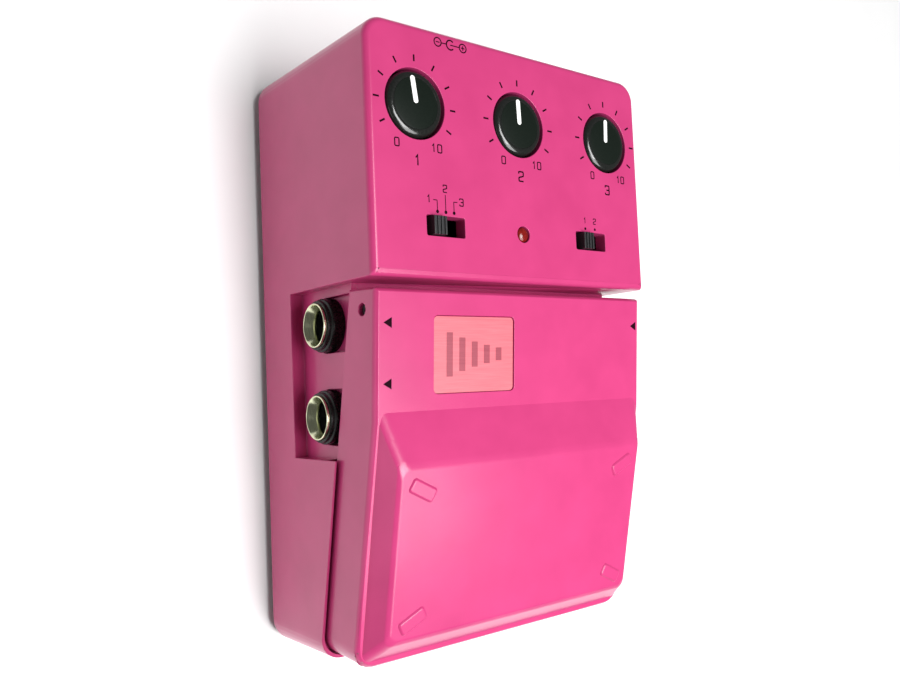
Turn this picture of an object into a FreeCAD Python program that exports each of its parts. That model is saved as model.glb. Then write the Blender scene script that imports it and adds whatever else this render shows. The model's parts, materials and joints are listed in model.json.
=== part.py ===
import FreeCAD, Part
import math
import os
import Sketcher

# A compact delay pedal: a die cast box with a control block at the rear,
# a foot treadle over its sloping front, jacks in side recesses and a closed base.
# X runs across the pedal, Y towards its rear, Z up. Heights in the table are
# counted from the housing's lower rim; every piece is then lifted by the feet.

Vector = FreeCAD.Vector

# Driving sizes in millimetres or degrees: name, value, meaning

SIZES = [
    ("foot_stand", "3.0", "height of the rubber feet under the rim"),
    ("base_width", "76.2", "housing across, at the rim"),
    ("base_length", "124.3", "housing front to rear, at the rim"),
    ("panel_height", "44.0", "rim to control panel"),
    ("side_draft", "1.42", "lean of the cast walls, degrees"),
    ("corner_radius", "5.5", "upright corners of the housing"),
    ("panel_fillet", "1.4", "edge round the control panel"),
    ("cast_wall", "2.6", "side walls of the housing"),
    ("panel_wall", "3.0", "thickness of the control panel"),
    ("deck_wall", "2.3", "thickness of the deck under the treadle"),
    ("rim_wall", "0.65", "lip round the treadle well"),
    ("block_length", "49.85", "control block, front to rear"),
    ("recess_length", "34.05", "jack recess, front to rear"),
    ("recess_floor", "12.3", "height of the jack recess floor"),
    ("recess_inset", "3.1", "recess wall inside the rim"),
    ("recess_wall", "3.2", "thickness of the recess wall"),
    ("cavity_corner", "3.0", "upright corners inside the housing"),
    ("deck_step", "1.2", "deck block stands in from the recess wall"),
    ("deck_height", "33.0", "upper deck under the treadle's rear"),
    ("deck_drop", "3.0", "lower deck below the skirt line"),
    ("rim_rise", "1.2", "rim above the skirt line"),
    ("wall_gap", "1.6", "recess wall below the skirt line"),
    ("treadle_slope", "11.85", "slope of the treadle, degrees"),
    ("treadle_flat_slope", "4.4", "slope of its rear flat, degrees"),
    ("skirt_rear_gap", "1.45", "control block to the skirt's rear end"),
    ("skirt_rear_z", "34.2", "skirt edge height at its rear end"),
    ("treadle_top_rear_z", "43.2", "top of the treadle at its rear edge"),
    ("treadle_rear_lean", "3.5", "rear face leans forward, degrees"),
    ("treadle_front_lean", "2.9", "front face leans forward, degrees"),
    ("treadle_bend_back", "26.8", "control block to where the flat turns to the slope"),
    ("treadle_draft", "1.2", "lean of the skirts, degrees"),
    ("treadle_corner", "4.6", "upright corners of the treadle"),
    ("treadle_wall", "2.2", "top wall of the treadle"),
    ("skirt_wall", "1.7", "skirt wall of the treadle"),
    ("skirt_gap", "0.4", "clearance between skirt and rim"),
    ("pad_rise", "4.3", "foot pad above the treadle's slope"),
    ("pad_side_low", "3.0", "foot of the pad's side inside the rim"),
    ("pad_side_high", "5.6", "top edge of the pad's side inside the rim"),
    ("pad_nose_low", "2.45", "front foot of the pad inside the rim"),
    ("pad_nose_high", "6.25", "front edge of the pad top inside the rim"),
    ("pad_crest_back", "35.1", "control block to the crest of the pad"),
    ("pad_toe_back", "25.5", "control block to the foot of the ramp"),
    ("pad_corner", "2.0", "corners of the pad"),
    ("pad_root", "1.0", "foot of the pad's sides, down in the treadle's top"),
    ("pad_hollow_inset", "1.4", "hollow of the pad inside its top edges"),
    ("treadle_bevel", "0.7", "bevelled outer edge of the treadle"),
    ("pad_bevel", "0.5", "bevelled edges of the pad"),
    ("hinge_back", "5.7", "control block to the treadle hinge"),
    ("hinge_z", "38.3", "treadle hinge height"),
    ("hinge_pin_radius", "1.2", "treadle hinge pin"),
    ("running_gap", "0.05", "radial clearance of turning and sliding fits"),
    ("ear_inset", "4.1", "outer face of a hinge ear inside the rim"),
    ("ear_wall", "2.6", "thickness of a hinge ear"),
    ("ear_radius", "2.1", "rounded top of a hinge ear"),
    ("pin_sink", "1.0", "hinge pin end below the skirt"),
    ("pin_reach", "0.5", "hinge pin end beyond the ear"),
    ("treadle_travel", "2.2", "treadle swing, degrees"),
    ("travel_spare", "0.3", "room left at the end of the treadle's travel"),
    ("inner_front", "2.0", "front wall of the treadle"),
    ("inner_rear", "1.5", "rear wall of the treadle"),
    ("treadle_rib_x", "18.0", "centre to a treadle rib"),
    ("treadle_rib_wall", "1.6", "thickness of a treadle rib"),
    ("treadle_rib_depth", "3.1", "a treadle rib below the top wall"),
    ("mark_side", "10.9", "a raised corner mark inside the rim"),
    ("mark_rear_back", "39.5", "control block to the rear marks"),
    ("mark_nose", "10.15", "front marks inside the rim"),
    ("mark_width", "3.1", "corner mark across"),
    ("mark_length", "6.4", "corner mark along"),
    ("mark_turn", "27.0", "corner mark's turn from across, degrees"),
    ("mark_corner", "0.8", "corner mark's own corners"),
    ("mark_rise", "0.35", "corner mark above the pad"),
    ("badge_x", "12.75", "badge recess left of centre"),
    ("badge_back", "14.4", "control block to the badge recess"),
    ("badge_width", "20.3", "badge recess across"),
    ("badge_length", "15.1", "badge recess front to rear"),
    ("badge_corner", "1.0", "badge recess corners"),
    ("badge_depth", "0.8", "badge recess depth"),
    ("badge_plate", "0.5", "badge plate thickness"),
    ("badge_gap", "0.15", "clearance round the badge plate"),
    ("spring_shift", "0.375", "spring and foot switch behind the middle of recess front and stop"),
    ("spring_seat_rise", "1.23", "spring's seat above the deck there"),
    ("spring_cup_radius", "6.0", "inside of the spring cup"),
    ("spring_cup_wall", "1.5", "wall of the spring cup"),
    ("spring_cup_depth", "1.0", "depth of the spring cup"),
    ("spring_cup_root", "3.0", "spring cup down into the deck"),
    ("spring_length", "14.0", "spring between its seats at rest"),
    ("spring_coil_radius", "4.8", "spring axis to wire centre"),
    ("spring_wire_radius", "0.6", "spring wire"),
    ("spring_turns", "5.5", "turns of the spring"),
    ("spring_boss_radius", "6.5", "seat under the treadle"),
    ("press_post_radius", "2.4", "post that presses the foot switch"),
    ("press_gap", "0.3", "post above the plunger at rest"),
    ("plunger_rise", "4.4", "top of the foot switch plunger above the spring's seat"),
    ("plunger_radius", "2.1", "foot switch plunger"),
    ("plunger_room", "2.0", "plunger above the foot switch's floor"),
    ("plunger_hole_spare", "0.5", "deck hole round the plunger"),
    ("stop_nose", "11.15", "stop screw inside the front rim"),
    ("stop_hole_radius", "2.9", "deck hole round the stop screw"),
    ("stop_pad_radius", "5.0", "flat round the stop hole under the deck"),
    ("stop_pad_drop", "0.97", "that flat below the deck's underside"),
    ("stop_shank_radius", "1.5", "stop screw shank"),
    ("stop_thread_depth", "7.0", "stop screw inside the treadle's post"),
    ("stop_head_radius", "2.8", "stop screw head"),
    ("stop_head", "1.6", "stop screw head thickness"),
    ("stop_washer", "1.0", "rubber washer on the stop screw"),
    ("stop_washer_radius", "3.9", "rubber washer outside"),
    ("stop_post_radius", "3.2", "treadle post for the stop screw"),
    ("stop_post_rise", "0.28", "lower end of that post above the skirt line"),
    ("bumper_side", "14.1", "a rubber bumper inside the rim"),
    ("bumper_nose", "12.15", "rubber bumpers inside the front rim"),
    ("bumper_seat_rise", "1.17", "flat seat of a bumper above the deck there"),
    ("bumper_seat_radius", "4.6", "flat seat of a bumper, radius"),
    ("bumper_seat_root", "2.4", "bumper seat down into the deck"),
    ("bumper_radius", "4.0", "rubber bumper"),
    ("bumper_rise", "2.0", "rubber bumper thickness"),
    ("bumper_post_radius", "2.8", "treadle post over a bumper"),
    ("knob_side", "11.95", "an outer knob's axis inside the side rim"),
    ("knob_inset", "16.65", "knob row inside the rear rim"),
    ("knob_hole_radius", "6.9", "knob holes in the panel"),
    ("knob_radius", "6.5", "knob outside"),
    ("knob_rise", "0.3", "pushed-in knob above the panel"),
    ("knob_height", "7.2", "knob top to its underside"),
    ("knob_shoulder", "1.2", "bevelled shoulder of the knob"),
    ("shoulder_knee", "0.7", "knee of the shoulder, as a share of it"),
    ("knob_shaft_bite", "3.0", "knob top to the shaft's end"),
    ("pointer_width", "1.1", "white pointer across"),
    ("pointer_start", "0.2", "pointer's inner end from the axis"),
    ("pointer_end", "5.2", "pointer's outer end from the axis"),
    ("pointer_depth", "0.5", "pointer let into the knob"),
    ("left_knob_turn", "5.0", "left knob at rest, degrees left of rear"),
    ("middle_knob_turn", "2.0", "middle knob at rest, degrees left of rear"),
    ("right_knob_turn", "-3.0", "right knob at rest, degrees left of rear"),
    ("shaft_radius", "2.0", "knob shaft"),
    ("shaft_flat", "1.5", "axis to the flat of the shaft"),
    ("shaft_length", "14.3", "knob shaft"),
    ("rotor_radius", "3.4", "rotor of the control"),
    ("rotor_top", "1.4", "rotor above the control board"),
    ("rotor_floor", "1.6", "closed lower end of the rotor"),
    ("pot_width", "10.5", "control body across"),
    ("pot_height", "9.0", "control body height"),
    ("pot_floor", "0.6", "wall under the rotor"),
    ("board_wall", "1.6", "circuit board thickness"),
    ("board_hole_spare", "0.2", "board hole round a part"),
    ("control_board_z", "35.0", "top of the control board"),
    ("control_board_side", "6.4", "side of the control board inside the rim"),
    ("control_board_step", "5.2", "front edge of the control board behind the block's front"),
    ("control_board_inset", "10.35", "rear edge of the control board inside the rim"),
    ("standoff_radius", "2.6", "board posts"),
    ("standoff_root", "1.1", "board posts into the wall they hang from"),
    ("pilot_radius", "1.0", "screw holes for the board screws"),
    ("pilot_depth", "4.5", "depth of those holes"),
    ("control_post_side", "8.7", "control board posts inside the rim"),
    ("control_post_step", "18.7", "control board posts behind the block's front"),
    ("window_side", "18.1", "middle of a switch window inside the side rim"),
    ("window_step", "10.15", "switch windows and lamp behind the block's front"),
    ("window_width", "9.2", "switch window across"),
    ("window_length", "4.0", "switch window front to rear"),
    ("window_corner", "0.4", "switch window corners"),
    ("switch_width", "14.0", "slide switch body across"),
    ("switch_length", "6.4", "slide switch body front to rear"),
    ("switch_gap", "0.1", "slide switch below the panel"),
    ("slot_width", "11.0", "slot in the switch body"),
    ("slot_depth", "3.4", "depth of that slot"),
    ("slot_spare", "0.1", "clearance of a slider in its slot"),
    ("slider_foot", "6.0", "slider's foot across"),
    ("slider_foot_height", "2.2", "slider's foot height"),
    ("slider_width", "3.0", "slider lever across"),
    ("slider_length", "3.6", "slider lever front to rear"),
    ("slider_rise", "1.0", "slider lever above the panel"),
    ("range_travel", "4.0", "three place switch travel"),
    ("mode_travel", "3.0", "two place switch travel"),
    ("lamp_radius", "1.6", "lamp lens"),
    ("lamp_hole_gap", "0.1", "clearance round the lamp"),
    ("lamp_foot_radius", "1.9", "lamp foot"),
    ("lamp_foot", "2.0", "lamp foot height"),
    ("lamp_rise", "0.2", "lamp above the panel"),
    ("lamp_edge", "0.4", "bevelled edge of the lamp"),
    ("jack_z", "22.5", "jack axis height"),
    ("rear_jack_back", "7.4", "control block to the rear jacks"),
    ("front_jack_back", "25.75", "control block to the front left jack"),
    ("jack_bore_radius", "3.25", "plug bore"),
    ("jack_bore_depth", "20.5", "inner end of the bore behind the recess face"),
    ("jack_depth", "22.7", "inner end of the jack behind the recess face"),
    ("jack_width", "12.0", "jack body front to rear"),
    ("jack_top", "5.8", "jack body above its axis"),
    ("barrel_radius", "4.5", "jack barrel"),
    ("barrel_reach", "2.25", "jack barrel beyond the recess face"),
    ("barrel_hole_gap", "0.1", "clearance round the barrel"),
    ("notch_radius", "5.55", "notch in the recess wall round a jack"),
    ("notch_depth", "1.3", "depth of that notch"),
    ("collar_radius", "5.4", "black collar of a jack"),
    ("collar_proud", "0.15", "collar beyond the end of the barrel"),
    ("ferrule_lip", "0.75", "plated lip of a jack"),
    ("ferrule_length", "1.85", "plated sleeve inside the barrel"),
    ("ferrule_radius", "4.1", "plated sleeve outside"),
    ("funnel_radius", "4.2", "mouth of the plated funnel"),
    ("funnel_depth", "1.9", "depth of the funnel"),
    ("dc_x", "17.4", "power socket left of centre"),
    ("dc_z", "17.0", "power socket height"),
    ("dc_width", "9.0", "power socket across"),
    ("dc_height", "11.0", "power socket height over all"),
    ("dc_body", "11.5", "power socket body length"),
    ("dc_barrel_radius", "4.3", "power socket barrel"),
    ("dc_barrel_short", "0.15", "barrel end inside the rear face"),
    ("dc_hole_gap", "0.1", "clearance round that barrel"),
    ("dc_bore_radius", "2.75", "power socket bore"),
    ("dc_bore_depth", "12.0", "power socket bore depth"),
    ("dc_pin_radius", "1.05", "power socket pin"),
    ("dc_pin_short", "1.1", "pin end inside the barrel's end"),
    ("plate_wall", "1.2", "base plate thickness"),
    ("rim_band", "1.3", "rim round the base plate"),
    ("plate_gap", "0.2", "clearance round the base plate"),
    ("screw_side", "5.9", "a base screw inside the side rim"),
    ("screw_rear", "6.55", "rear base screws inside the rim"),
    ("screw_nose", "8.15", "front base screws inside the rim"),
    ("screw_post_radius", "3.0", "posts for the base screws"),
    ("screw_post", "12.0", "length of those posts"),
    ("screw_radius", "1.25", "base screw shank"),
    ("screw_length", "8.0", "base screw shank length"),
    ("screw_head_radius", "2.5", "base screw head"),
    ("screw_head", "1.4", "base screw head height"),
    ("screw_hole_gap", "0.3", "clearance of the base plate's screw holes"),
    ("seat_gap", "0.02", "clearance of a pressed seat"),
    ("board_screw_radius", "0.95", "board screw shank"),
    ("board_screw_length", "5.0", "board screw shank length"),
    ("board_screw_head_radius", "1.9", "board screw head"),
    ("board_screw_head", "1.2", "board screw head height"),
    ("foot_side", "14.1", "a rubber foot inside the side rim"),
    ("foot_nose", "13.15", "front feet inside the rim"),
    ("foot_rear", "9.65", "rear feet inside the rim"),
    ("foot_radius", "5.2", "rubber foot"),
    ("battery_x", "0.4", "battery bay left of centre"),
    ("battery_inset", "31.45", "battery bay inside the rear rim"),
    ("tray_wall", "1.2", "battery tray walls"),
    ("door_inset", "0.5", "door inside the tray's walls"),
    ("door_gap", "0.3", "clearance round the battery door"),
    ("door_grip_width", "12.0", "finger groove in the door"),
    ("door_grip_length", "3.0", "finger groove front to rear"),
    ("door_grip_depth", "0.5", "finger groove depth"),
    ("door_grip_inset", "4.5", "finger groove inside the door's rear edge"),
    ("battery_length", "46.4", "battery body"),
    ("battery_width", "26.2", "battery body front to rear"),
    ("battery_height", "17.2", "battery body height"),
    ("battery_corner", "1.5", "long edges of the battery"),
    ("battery_lift", "0.6", "battery above the base plate's top"),
    ("battery_end_gap", "0.5", "battery to the tray's left wall"),
    ("battery_side_gap", "1.2", "battery to the tray's front and rear walls"),
    ("battery_top_gap", "0.5", "battery to the tray's top"),
    ("terminal_radius", "3.1", "battery terminals"),
    ("terminal_rise", "2.0", "battery terminals beyond the body"),
    ("terminal_pitch", "12.7", "terminal to terminal"),
    ("snap_wall", "3.6", "battery snap thickness"),
    ("snap_width", "23.0", "battery snap front to rear"),
    ("snap_height", "11.0", "battery snap height"),
    ("snap_room", "2.7", "battery snap to the tray's right wall"),
    ("lead_radius", "0.55", "battery lead"),
    ("lead_pitch", "1.8", "lead to lead"),
    ("lead_shift", "6.0", "leads leave the snap ahead of its middle"),
    ("lead_rise", "2.6", "leads above the snap"),
    ("lead_gap", "0.3", "clearance of the tray's slot round the leads"),
    ("lead_end_inset", "1.2", "leads inside the main board's rear edge"),
    ("main_board_side", "7.3", "side of the main board inside the rim"),
    ("main_board_nose", "18.15", "front edge of the main board inside the rim"),
    ("main_board_step", "1.3", "rear edge of the main board behind the block's front"),
    ("main_post_gap", "4.3", "rear main board posts inside the jacks' inner ends"),
    ("main_post_back", "4.7", "control block to the rear main board posts"),
    ("main_post_side", "11.1", "front main board posts inside the rim"),
    ("main_post_nose", "24.15", "front main board posts inside the front rim"),
    ("foot_switch_width", "9.0", "foot switch body"),
    ("foot_switch_height", "3.2", "foot switch body height"),
    ("foot_switch_gap", "0.675", "foot switch below the deck"),
    ("foot_switch_floor", "0.7", "wall under the plunger"),
    ("ribbon_width", "12.0", "ribbon cable across"),
    ("ribbon_wall", "0.8", "ribbon cable thickness"),
    ("ribbon_upper_step", "6.3", "ribbon at the control board, behind the block's front"),
    ("ribbon_inset", "1.3", "ribbon inside the main board's rear edge"),
    ("ribbon_upper_z", "29.0", "ribbon's upper bend"),
    ("ribbon_lower_z", "21.0", "ribbon's lower bend"),
    ("chip_height", "3.5", "chips under the main board"),
    ("chip_width", "6.4", "chips across"),
    ("chip_length", "19.0", "chips front to rear"),
    ("chip_pitch", "15.0", "chip to chip, and capacitor to capacitor"),
    ("chip_back", "29.3", "control block to the chips"),
    ("capacitor_back", "10.3", "control block to the capacitors"),
    ("capacitor_radius", "2.5", "capacitors under the main board"),
    ("capacitor_height", "6.0", "capacitors under the main board, height"),
]

doc = FreeCAD.newDocument("delay_pedal")
sheet = doc.addObject("Spreadsheet::Sheet", "sizes")
for row, (alias, value, meaning) in enumerate(SIZES, start=1):
    sheet.set(f"A{row}", meaning)
    sheet.set(f"B{row}", value)
    sheet.setAlias(f"B{row}", alias)
doc.recompute()


class Size:
    """A number together with the sheet formula that gives it."""

    def __init__(self, value, formula):
        self.value = float(value)
        self.formula = formula

    def __add__(self, other):
        other = as_size(other)
        return Size(self.value + other.value, f"({self.formula} + {other.formula})")

    def __sub__(self, other):
        other = as_size(other)
        return Size(self.value - other.value, f"({self.formula} - {other.formula})")

    def __mul__(self, other):
        other = as_size(other)
        return Size(self.value * other.value, f"({self.formula} * {other.formula})")

    def __truediv__(self, other):
        other = as_size(other)
        return Size(self.value / other.value, f"({self.formula} / {other.formula})")

    def __neg__(self):
        return Size(-self.value, f"(0 - {self.formula})")

    __radd__ = __add__
    __rmul__ = __mul__

    def __rsub__(self, other):
        return as_size(other) - self


def as_size(item):
    return item if isinstance(item, Size) else Size(item, f"({float(item)})")


class SheetSizes:
    """Gives each size of the sheet by its alias."""

    def __getattr__(self, alias):
        return Size(sheet.get(alias), f"sizes.{alias}")


the = SheetSizes()


def tangent(angle):
    return Size(math.tan(math.radians(angle.value)), f"tan({angle.formula} * 1 deg)")


def cosine(angle):
    return Size(math.cos(math.radians(angle.value)), f"cos({angle.formula} * 1 deg)")


def sine(angle):
    return Size(math.sin(math.radians(angle.value)), f"sin({angle.formula} * 1 deg)")


def square_root(item):
    return Size(math.sqrt(item.value), f"sqrt({item.formula})")


def bind(thing, path, value):
    """Ties a property to the sheet, or sets it when it is a plain number."""
    thing.setExpression(path, as_size(value).formula)


# Sketch drawing

ORIGIN_POINT = -1
QUARTER_TURN = 90
START, END, CENTRE = 1, 2, 3


def pin_along(sketch, kind, curve, end, distance):
    distance = as_size(distance)
    rule = Sketcher.Constraint(kind, ORIGIN_POINT, START, curve, end, distance.value)
    index = sketch.addConstraint(rule)
    sketch.setExpression(f"Constraints[{index}]", distance.formula)


def pin_point(sketch, curve, end, x, y):
    """Holds one end of a curve at a place given by the sheet."""
    pin_along(sketch, "DistanceX", curve, end, x)
    pin_along(sketch, "DistanceY", curve, end, y)


def hold_radius(sketch, curve, radius):
    radius = as_size(radius)
    index = sketch.addConstraint(Sketcher.Constraint("Radius", curve, radius.value))
    sketch.setExpression(f"Constraints[{index}]", radius.formula)


def join(sketch, first, first_end, second, second_end):
    sketch.addConstraint(Sketcher.Constraint("Coincident", first, first_end, second, second_end))


def flat_point(x, y):
    return Vector(as_size(x).value, as_size(y).value, 0)


def line(sketch, start, end):
    return sketch.addGeometry(Part.LineSegment(flat_point(*start), flat_point(*end)), False)


def free_arc(sketch, x, y, radius, first, last):
    ring = Part.Circle(flat_point(x, y), Vector(0, 0, 1), as_size(radius).value)
    curve = Part.ArcOfCircle(ring, math.radians(first), math.radians(last))
    return sketch.addGeometry(curve, False)


def arc(sketch, x, y, radius, first, last):
    """An arc round a centre, from one angle to another in degrees."""
    index = free_arc(sketch, x, y, radius, first, last)
    hold_radius(sketch, index, radius)
    return index


def polygon(sketch, corners):
    """A closed outline of straight lines."""
    count = len(corners)
    lines = [line(sketch, corners[i], corners[(i + 1) % count]) for i in range(count)]
    for i in range(count):
        join(sketch, lines[i], END, lines[(i + 1) % count], START)
        pin_point(sketch, lines[i], START, *corners[i])


def circle(sketch, x, y, radius):
    curve = Part.Circle(flat_point(x, y), Vector(0, 0, 1), as_size(radius).value)
    index = sketch.addGeometry(curve, False)
    pin_point(sketch, index, CENTRE, x, y)
    hold_radius(sketch, index, radius)


def rounded(sketch, x1, y1, x2, y2, radii):
    """A rectangle whose corners, from lower left round to upper left, may be rounded."""
    x1, y1, x2, y2 = (as_size(item) for item in (x1, y1, x2, y2))
    corners = [(x1, y1, 1, 1), (x2, y1, -1, 1), (x2, y2, -1, -1), (x1, y2, 1, -1)]
    arrive, leave, arcs = [], [], []
    for number, ((x, y, sx, sy), radius) in enumerate(zip(corners, radii)):
        if radius is None:
            arrive.append((x, y))
            leave.append((x, y))
            arcs.append(None)
            continue
        radius = as_size(radius)
        centre = (x + sx * radius, y + sy * radius)
        along_x = (centre[0], y)
        along_y = (x, centre[1])
        arrive.append(along_y if number % 2 == 0 else along_x)
        leave.append(along_x if number % 2 == 0 else along_y)
        first = (number + 2) * QUARTER_TURN
        arcs.append(arc(sketch, *centre, radius, first, first + QUARTER_TURN))
    lines = []
    for number in range(4):
        start, end = leave[number], arrive[(number + 1) % 4]
        lines.append(line(sketch, start, end))
        pin_point(sketch, lines[-1], START, *start)
        if radii[(number + 1) % 4] is not None:
            pin_point(sketch, lines[-1], END, *end)
    for number in range(4):
        before = lines[number - 1]
        if arcs[number] is None:
            join(sketch, before, END, lines[number], START)
        else:
            join(sketch, before, END, arcs[number], START)
            join(sketch, arcs[number], END, lines[number], START)


def slab_outline(x, y, width, length, radius=None):
    """A centred rectangle with four like corners, as a drawing step."""
    half_width, half_length = as_size(width) / 2, as_size(length) / 2
    x, y = as_size(x), as_size(y)

    def draw(sketch):
        edges = (x - half_width, y - half_length, x + half_width, y + half_length)
        rounded(sketch, *edges, [radius] * 4)
    return draw


def rounded_turned(sketch, x, y, length, width, radius, turn):
    """A rounded rectangle round a place, its long side turned from across."""
    across, along = cosine(turn), sine(turn)
    half_length, half_width = length / 2, width / 2

    def spot(u, v):
        return x + u * across - v * along, y + u * along + v * across
    reach_u, reach_v = half_length - radius, half_width - radius
    sides = [
        ((-reach_u, -half_width), (reach_u, -half_width)),
        ((half_length, -reach_v), (half_length, reach_v)),
        ((reach_u, half_width), (-reach_u, half_width)),
        ((-half_length, reach_v), (-half_length, -reach_v))]
    centres = [(reach_u, -reach_v), (reach_u, reach_v), (-reach_u, reach_v), (-reach_u, -reach_v)]
    lines, arcs = [], []
    for number, (start, end) in enumerate(sides):
        lines.append(line(sketch, spot(*start), spot(*end)))
        pin_point(sketch, lines[-1], START, *spot(*start))
        pin_point(sketch, lines[-1], END, *spot(*end))
        first = turn.value + (number - 1) * QUARTER_TURN
        arcs.append(arc(sketch, *spot(*centres[number]), radius, first, first + QUARTER_TURN))
    for number in range(4):
        join(sketch, lines[number], END, arcs[number], START)
        join(sketch, arcs[number], END, lines[(number + 1) % 4], START)


def round_outline(*places, radius):
    """Like circles at some places, as a drawing step."""
    def draw(sketch):
        for x, y in places:
            circle(sketch, x, y, radius)
    return draw


def capped_outline(x, y, radius, root, upward=True):
    """A tongue or a slot: a half circle round a place, drawn on straight to a root height."""
    x, y, radius, root = (as_size(item) for item in (x, y, radius, root))

    def draw(sketch):
        first = 0 if upward else 180
        cap = free_arc(sketch, x, y, radius, first, first + 180)
        pin_along(sketch, "DistanceY", cap, CENTRE, y)
        side = radius if upward else -radius
        path = [(x - side, y), (x - side, root), (x + side, root), (x + side, y)]
        lines = []
        for start, end in zip(path, path[1:]):
            lines.append(line(sketch, start, end))
            pin_point(sketch, lines[-1], START, *start)
            pin_point(sketch, lines[-1], END, *end)
        join(sketch, cap, END, lines[0], START)
        join(sketch, lines[2], END, cap, START)
    return draw


def dee_outline(radius, flat):
    """A circle round the axis with one flat, for a shaft or the hole it turns."""
    reach = square_root(radius * radius - flat * flat)
    angle = math.degrees(math.acos(flat.value / radius.value))

    def draw(sketch):
        bow = arc(sketch, 0, 0, radius, angle - 90, 270 - angle)
        chord = line(sketch, (-reach, -flat), (reach, -flat))
        pin_point(sketch, chord, START, -reach, -flat)
        pin_point(sketch, chord, END, reach, -flat)
        join(sketch, bow, END, chord, START)
        join(sketch, chord, END, bow, START)
    return draw


# Body building

PLANES = {"top": "XY_Plane", "side": "YZ_Plane", "front": "XZ_Plane"}
FULL_TURN = 360
WIRE_SIDES, STEPS_PER_TURN, BEND_SHARE, END_BEND_SHARE = 6, 12, 0.45, 0.85
DOWN, UP = Vector(0, 0, -1), Vector(0, 0, 1)


class Piece:
    """One solid piece, built feature by feature in its own frame."""

    def __init__(self, label):
        self.label = label
        self.body = doc.addObject("PartDesign::Body", label)
        self.body.Label = label

    def sketch(self, plane, shift, draw, tilt=None):
        role = PLANES[plane]
        sketch = self.body.newObject("Sketcher::SketchObject", f"{self.label}_outline")
        support = [item for item in self.body.Origin.OriginFeatures if item.Role == role]
        sketch.AttachmentSupport = [(support[0], "")]
        sketch.MapMode = "FlatFace"
        if tilt is not None:
            sketch.AttachmentOffset = FreeCAD.Placement(Vector(), FreeCAD.Rotation(Vector(1, 0, 0), 1))
            bind(sketch, "AttachmentOffset.Rotation.Angle", tilt)
        bind(sketch, "AttachmentOffset.Base.z", shift)
        draw(sketch)
        return sketch

    def feature(self, kind, sketch, length, way=None, both=False, back=False, taper=None):
        item = self.body.newObject(f"PartDesign::{kind}", f"{self.label}_{kind.lower()}")
        item.Profile = sketch
        bind(item, "Length", length)
        item.Reversed = back
        item.Refine = False
        if both:
            item.Midplane = True
        if way is not None:
            item.UseCustomVector = True
            item.Direction = way
            item.AlongSketchNormal = False
        if taper is not None:
            bind(item, "TaperAngle", taper)
        return item

    def pad(self, plane, shift, length, draw, tilt=None, **options):
        return self.feature("Pad", self.sketch(plane, shift, draw, tilt), length, **options)

    def pocket(self, plane, shift, length, draw, both=False):
        """Cuts from the shifted plane towards its positive side, or both ways."""
        return self.feature("Pocket", self.sketch(plane, shift, draw), length, both=both, back=not both)

    def slant_pocket(self, shift, tilt, length, draw, way):
        """Cuts straight up or down from a plane that slopes towards the front."""
        return self.feature("Pocket", self.sketch("top", shift, draw, tilt), length, way=way)

    def loft(self, sections):
        item = self.body.newObject("PartDesign::AdditiveLoft", f"{self.label}_loft")
        item.Profile = sections[0]
        item.Sections = sections[1:]
        item.Ruled = True
        return item

    def spin(self, outline):
        """Turns a half outline, drawn across and up, round the piece's own upright axis."""
        profile = self.sketch("front", zero, lambda sketch: polygon(sketch, outline))
        item = self.body.newObject("PartDesign::Revolution", f"{self.label}_spin")
        item.Profile = profile
        item.ReferenceAxis = (profile, ["V_Axis"])
        item.Angle = FULL_TURN
        return item

    def edge_feature(self, kind, path, value, test):
        doc.recompute()
        solid = self.body.Shape.copy()
        solid.Placement = FreeCAD.Placement()
        names = [f"Edge{i + 1}" for i, edge in enumerate(solid.Edges) if test(edge)]
        base = self.body.Tip
        item = self.body.newObject(f"PartDesign::{kind}", f"{self.label}_{kind.lower()}")
        item.Base = (base, names)
        bind(item, path, value)
        return item

    def fillet(self, radius, test):
        return self.edge_feature("Fillet", "Radius", radius, test)

    def chamfer(self, width, test):
        return self.edge_feature("Chamfer", "Size", width, test)

    def place(self, x=0, y=0, z=0, rotation=None, turn=None):
        """Sets the finished piece in the pedal, heights counted from the rim."""
        body = self.body
        if rotation is not None:
            body.Placement = FreeCAD.Placement(Vector(), rotation)
        if turn is not None:
            body.Placement = FreeCAD.Placement(Vector(), FreeCAD.Rotation(UP, 1))
            bind(body, "Placement.Rotation.Angle", turn)
        bind(body, "Placement.Base.x", x)
        bind(body, "Placement.Base.y", y)
        bind(body, "Placement.Base.z", as_size(z) + the.foot_stand)
        nodes.append(body)
        return self


nodes = []


def group(label, master, places):
    """Like pieces that share one node, as links to one master piece."""
    links = []
    for number, (x, y, z) in enumerate(places, start=1):
        link = doc.addObject("App::Link", f"{label}_{number}")
        link.LinkedObject = master.body
        bind(link, "Placement.Base.x", x)
        bind(link, "Placement.Base.y", y)
        bind(link, "Placement.Base.z", as_size(z) + the.foot_stand)
        links.append(link)
    bundle = doc.addObject("Part::Compound", label)
    bundle.Label = label
    bundle.Links = links
    nodes.append(bundle)


def level_edge(height):
    """Tests for edges that lie at one height of the piece's own frame."""
    level = as_size(height).value

    def test(edge):
        box = edge.BoundBox
        return abs(box.ZMin - level) < TOUCH and abs(box.ZMax - level) < TOUCH
    return test


def round_edge(height, radius):
    """Tests for round edges of one radius at one height."""
    level, size = level_edge(height), as_size(radius).value

    def test(edge):
        return level(edge) and isinstance(edge.Curve, Part.Circle) and abs(edge.Curve.Radius - size) < TOUCH
    return test


# Heights and places that several pieces share

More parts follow.
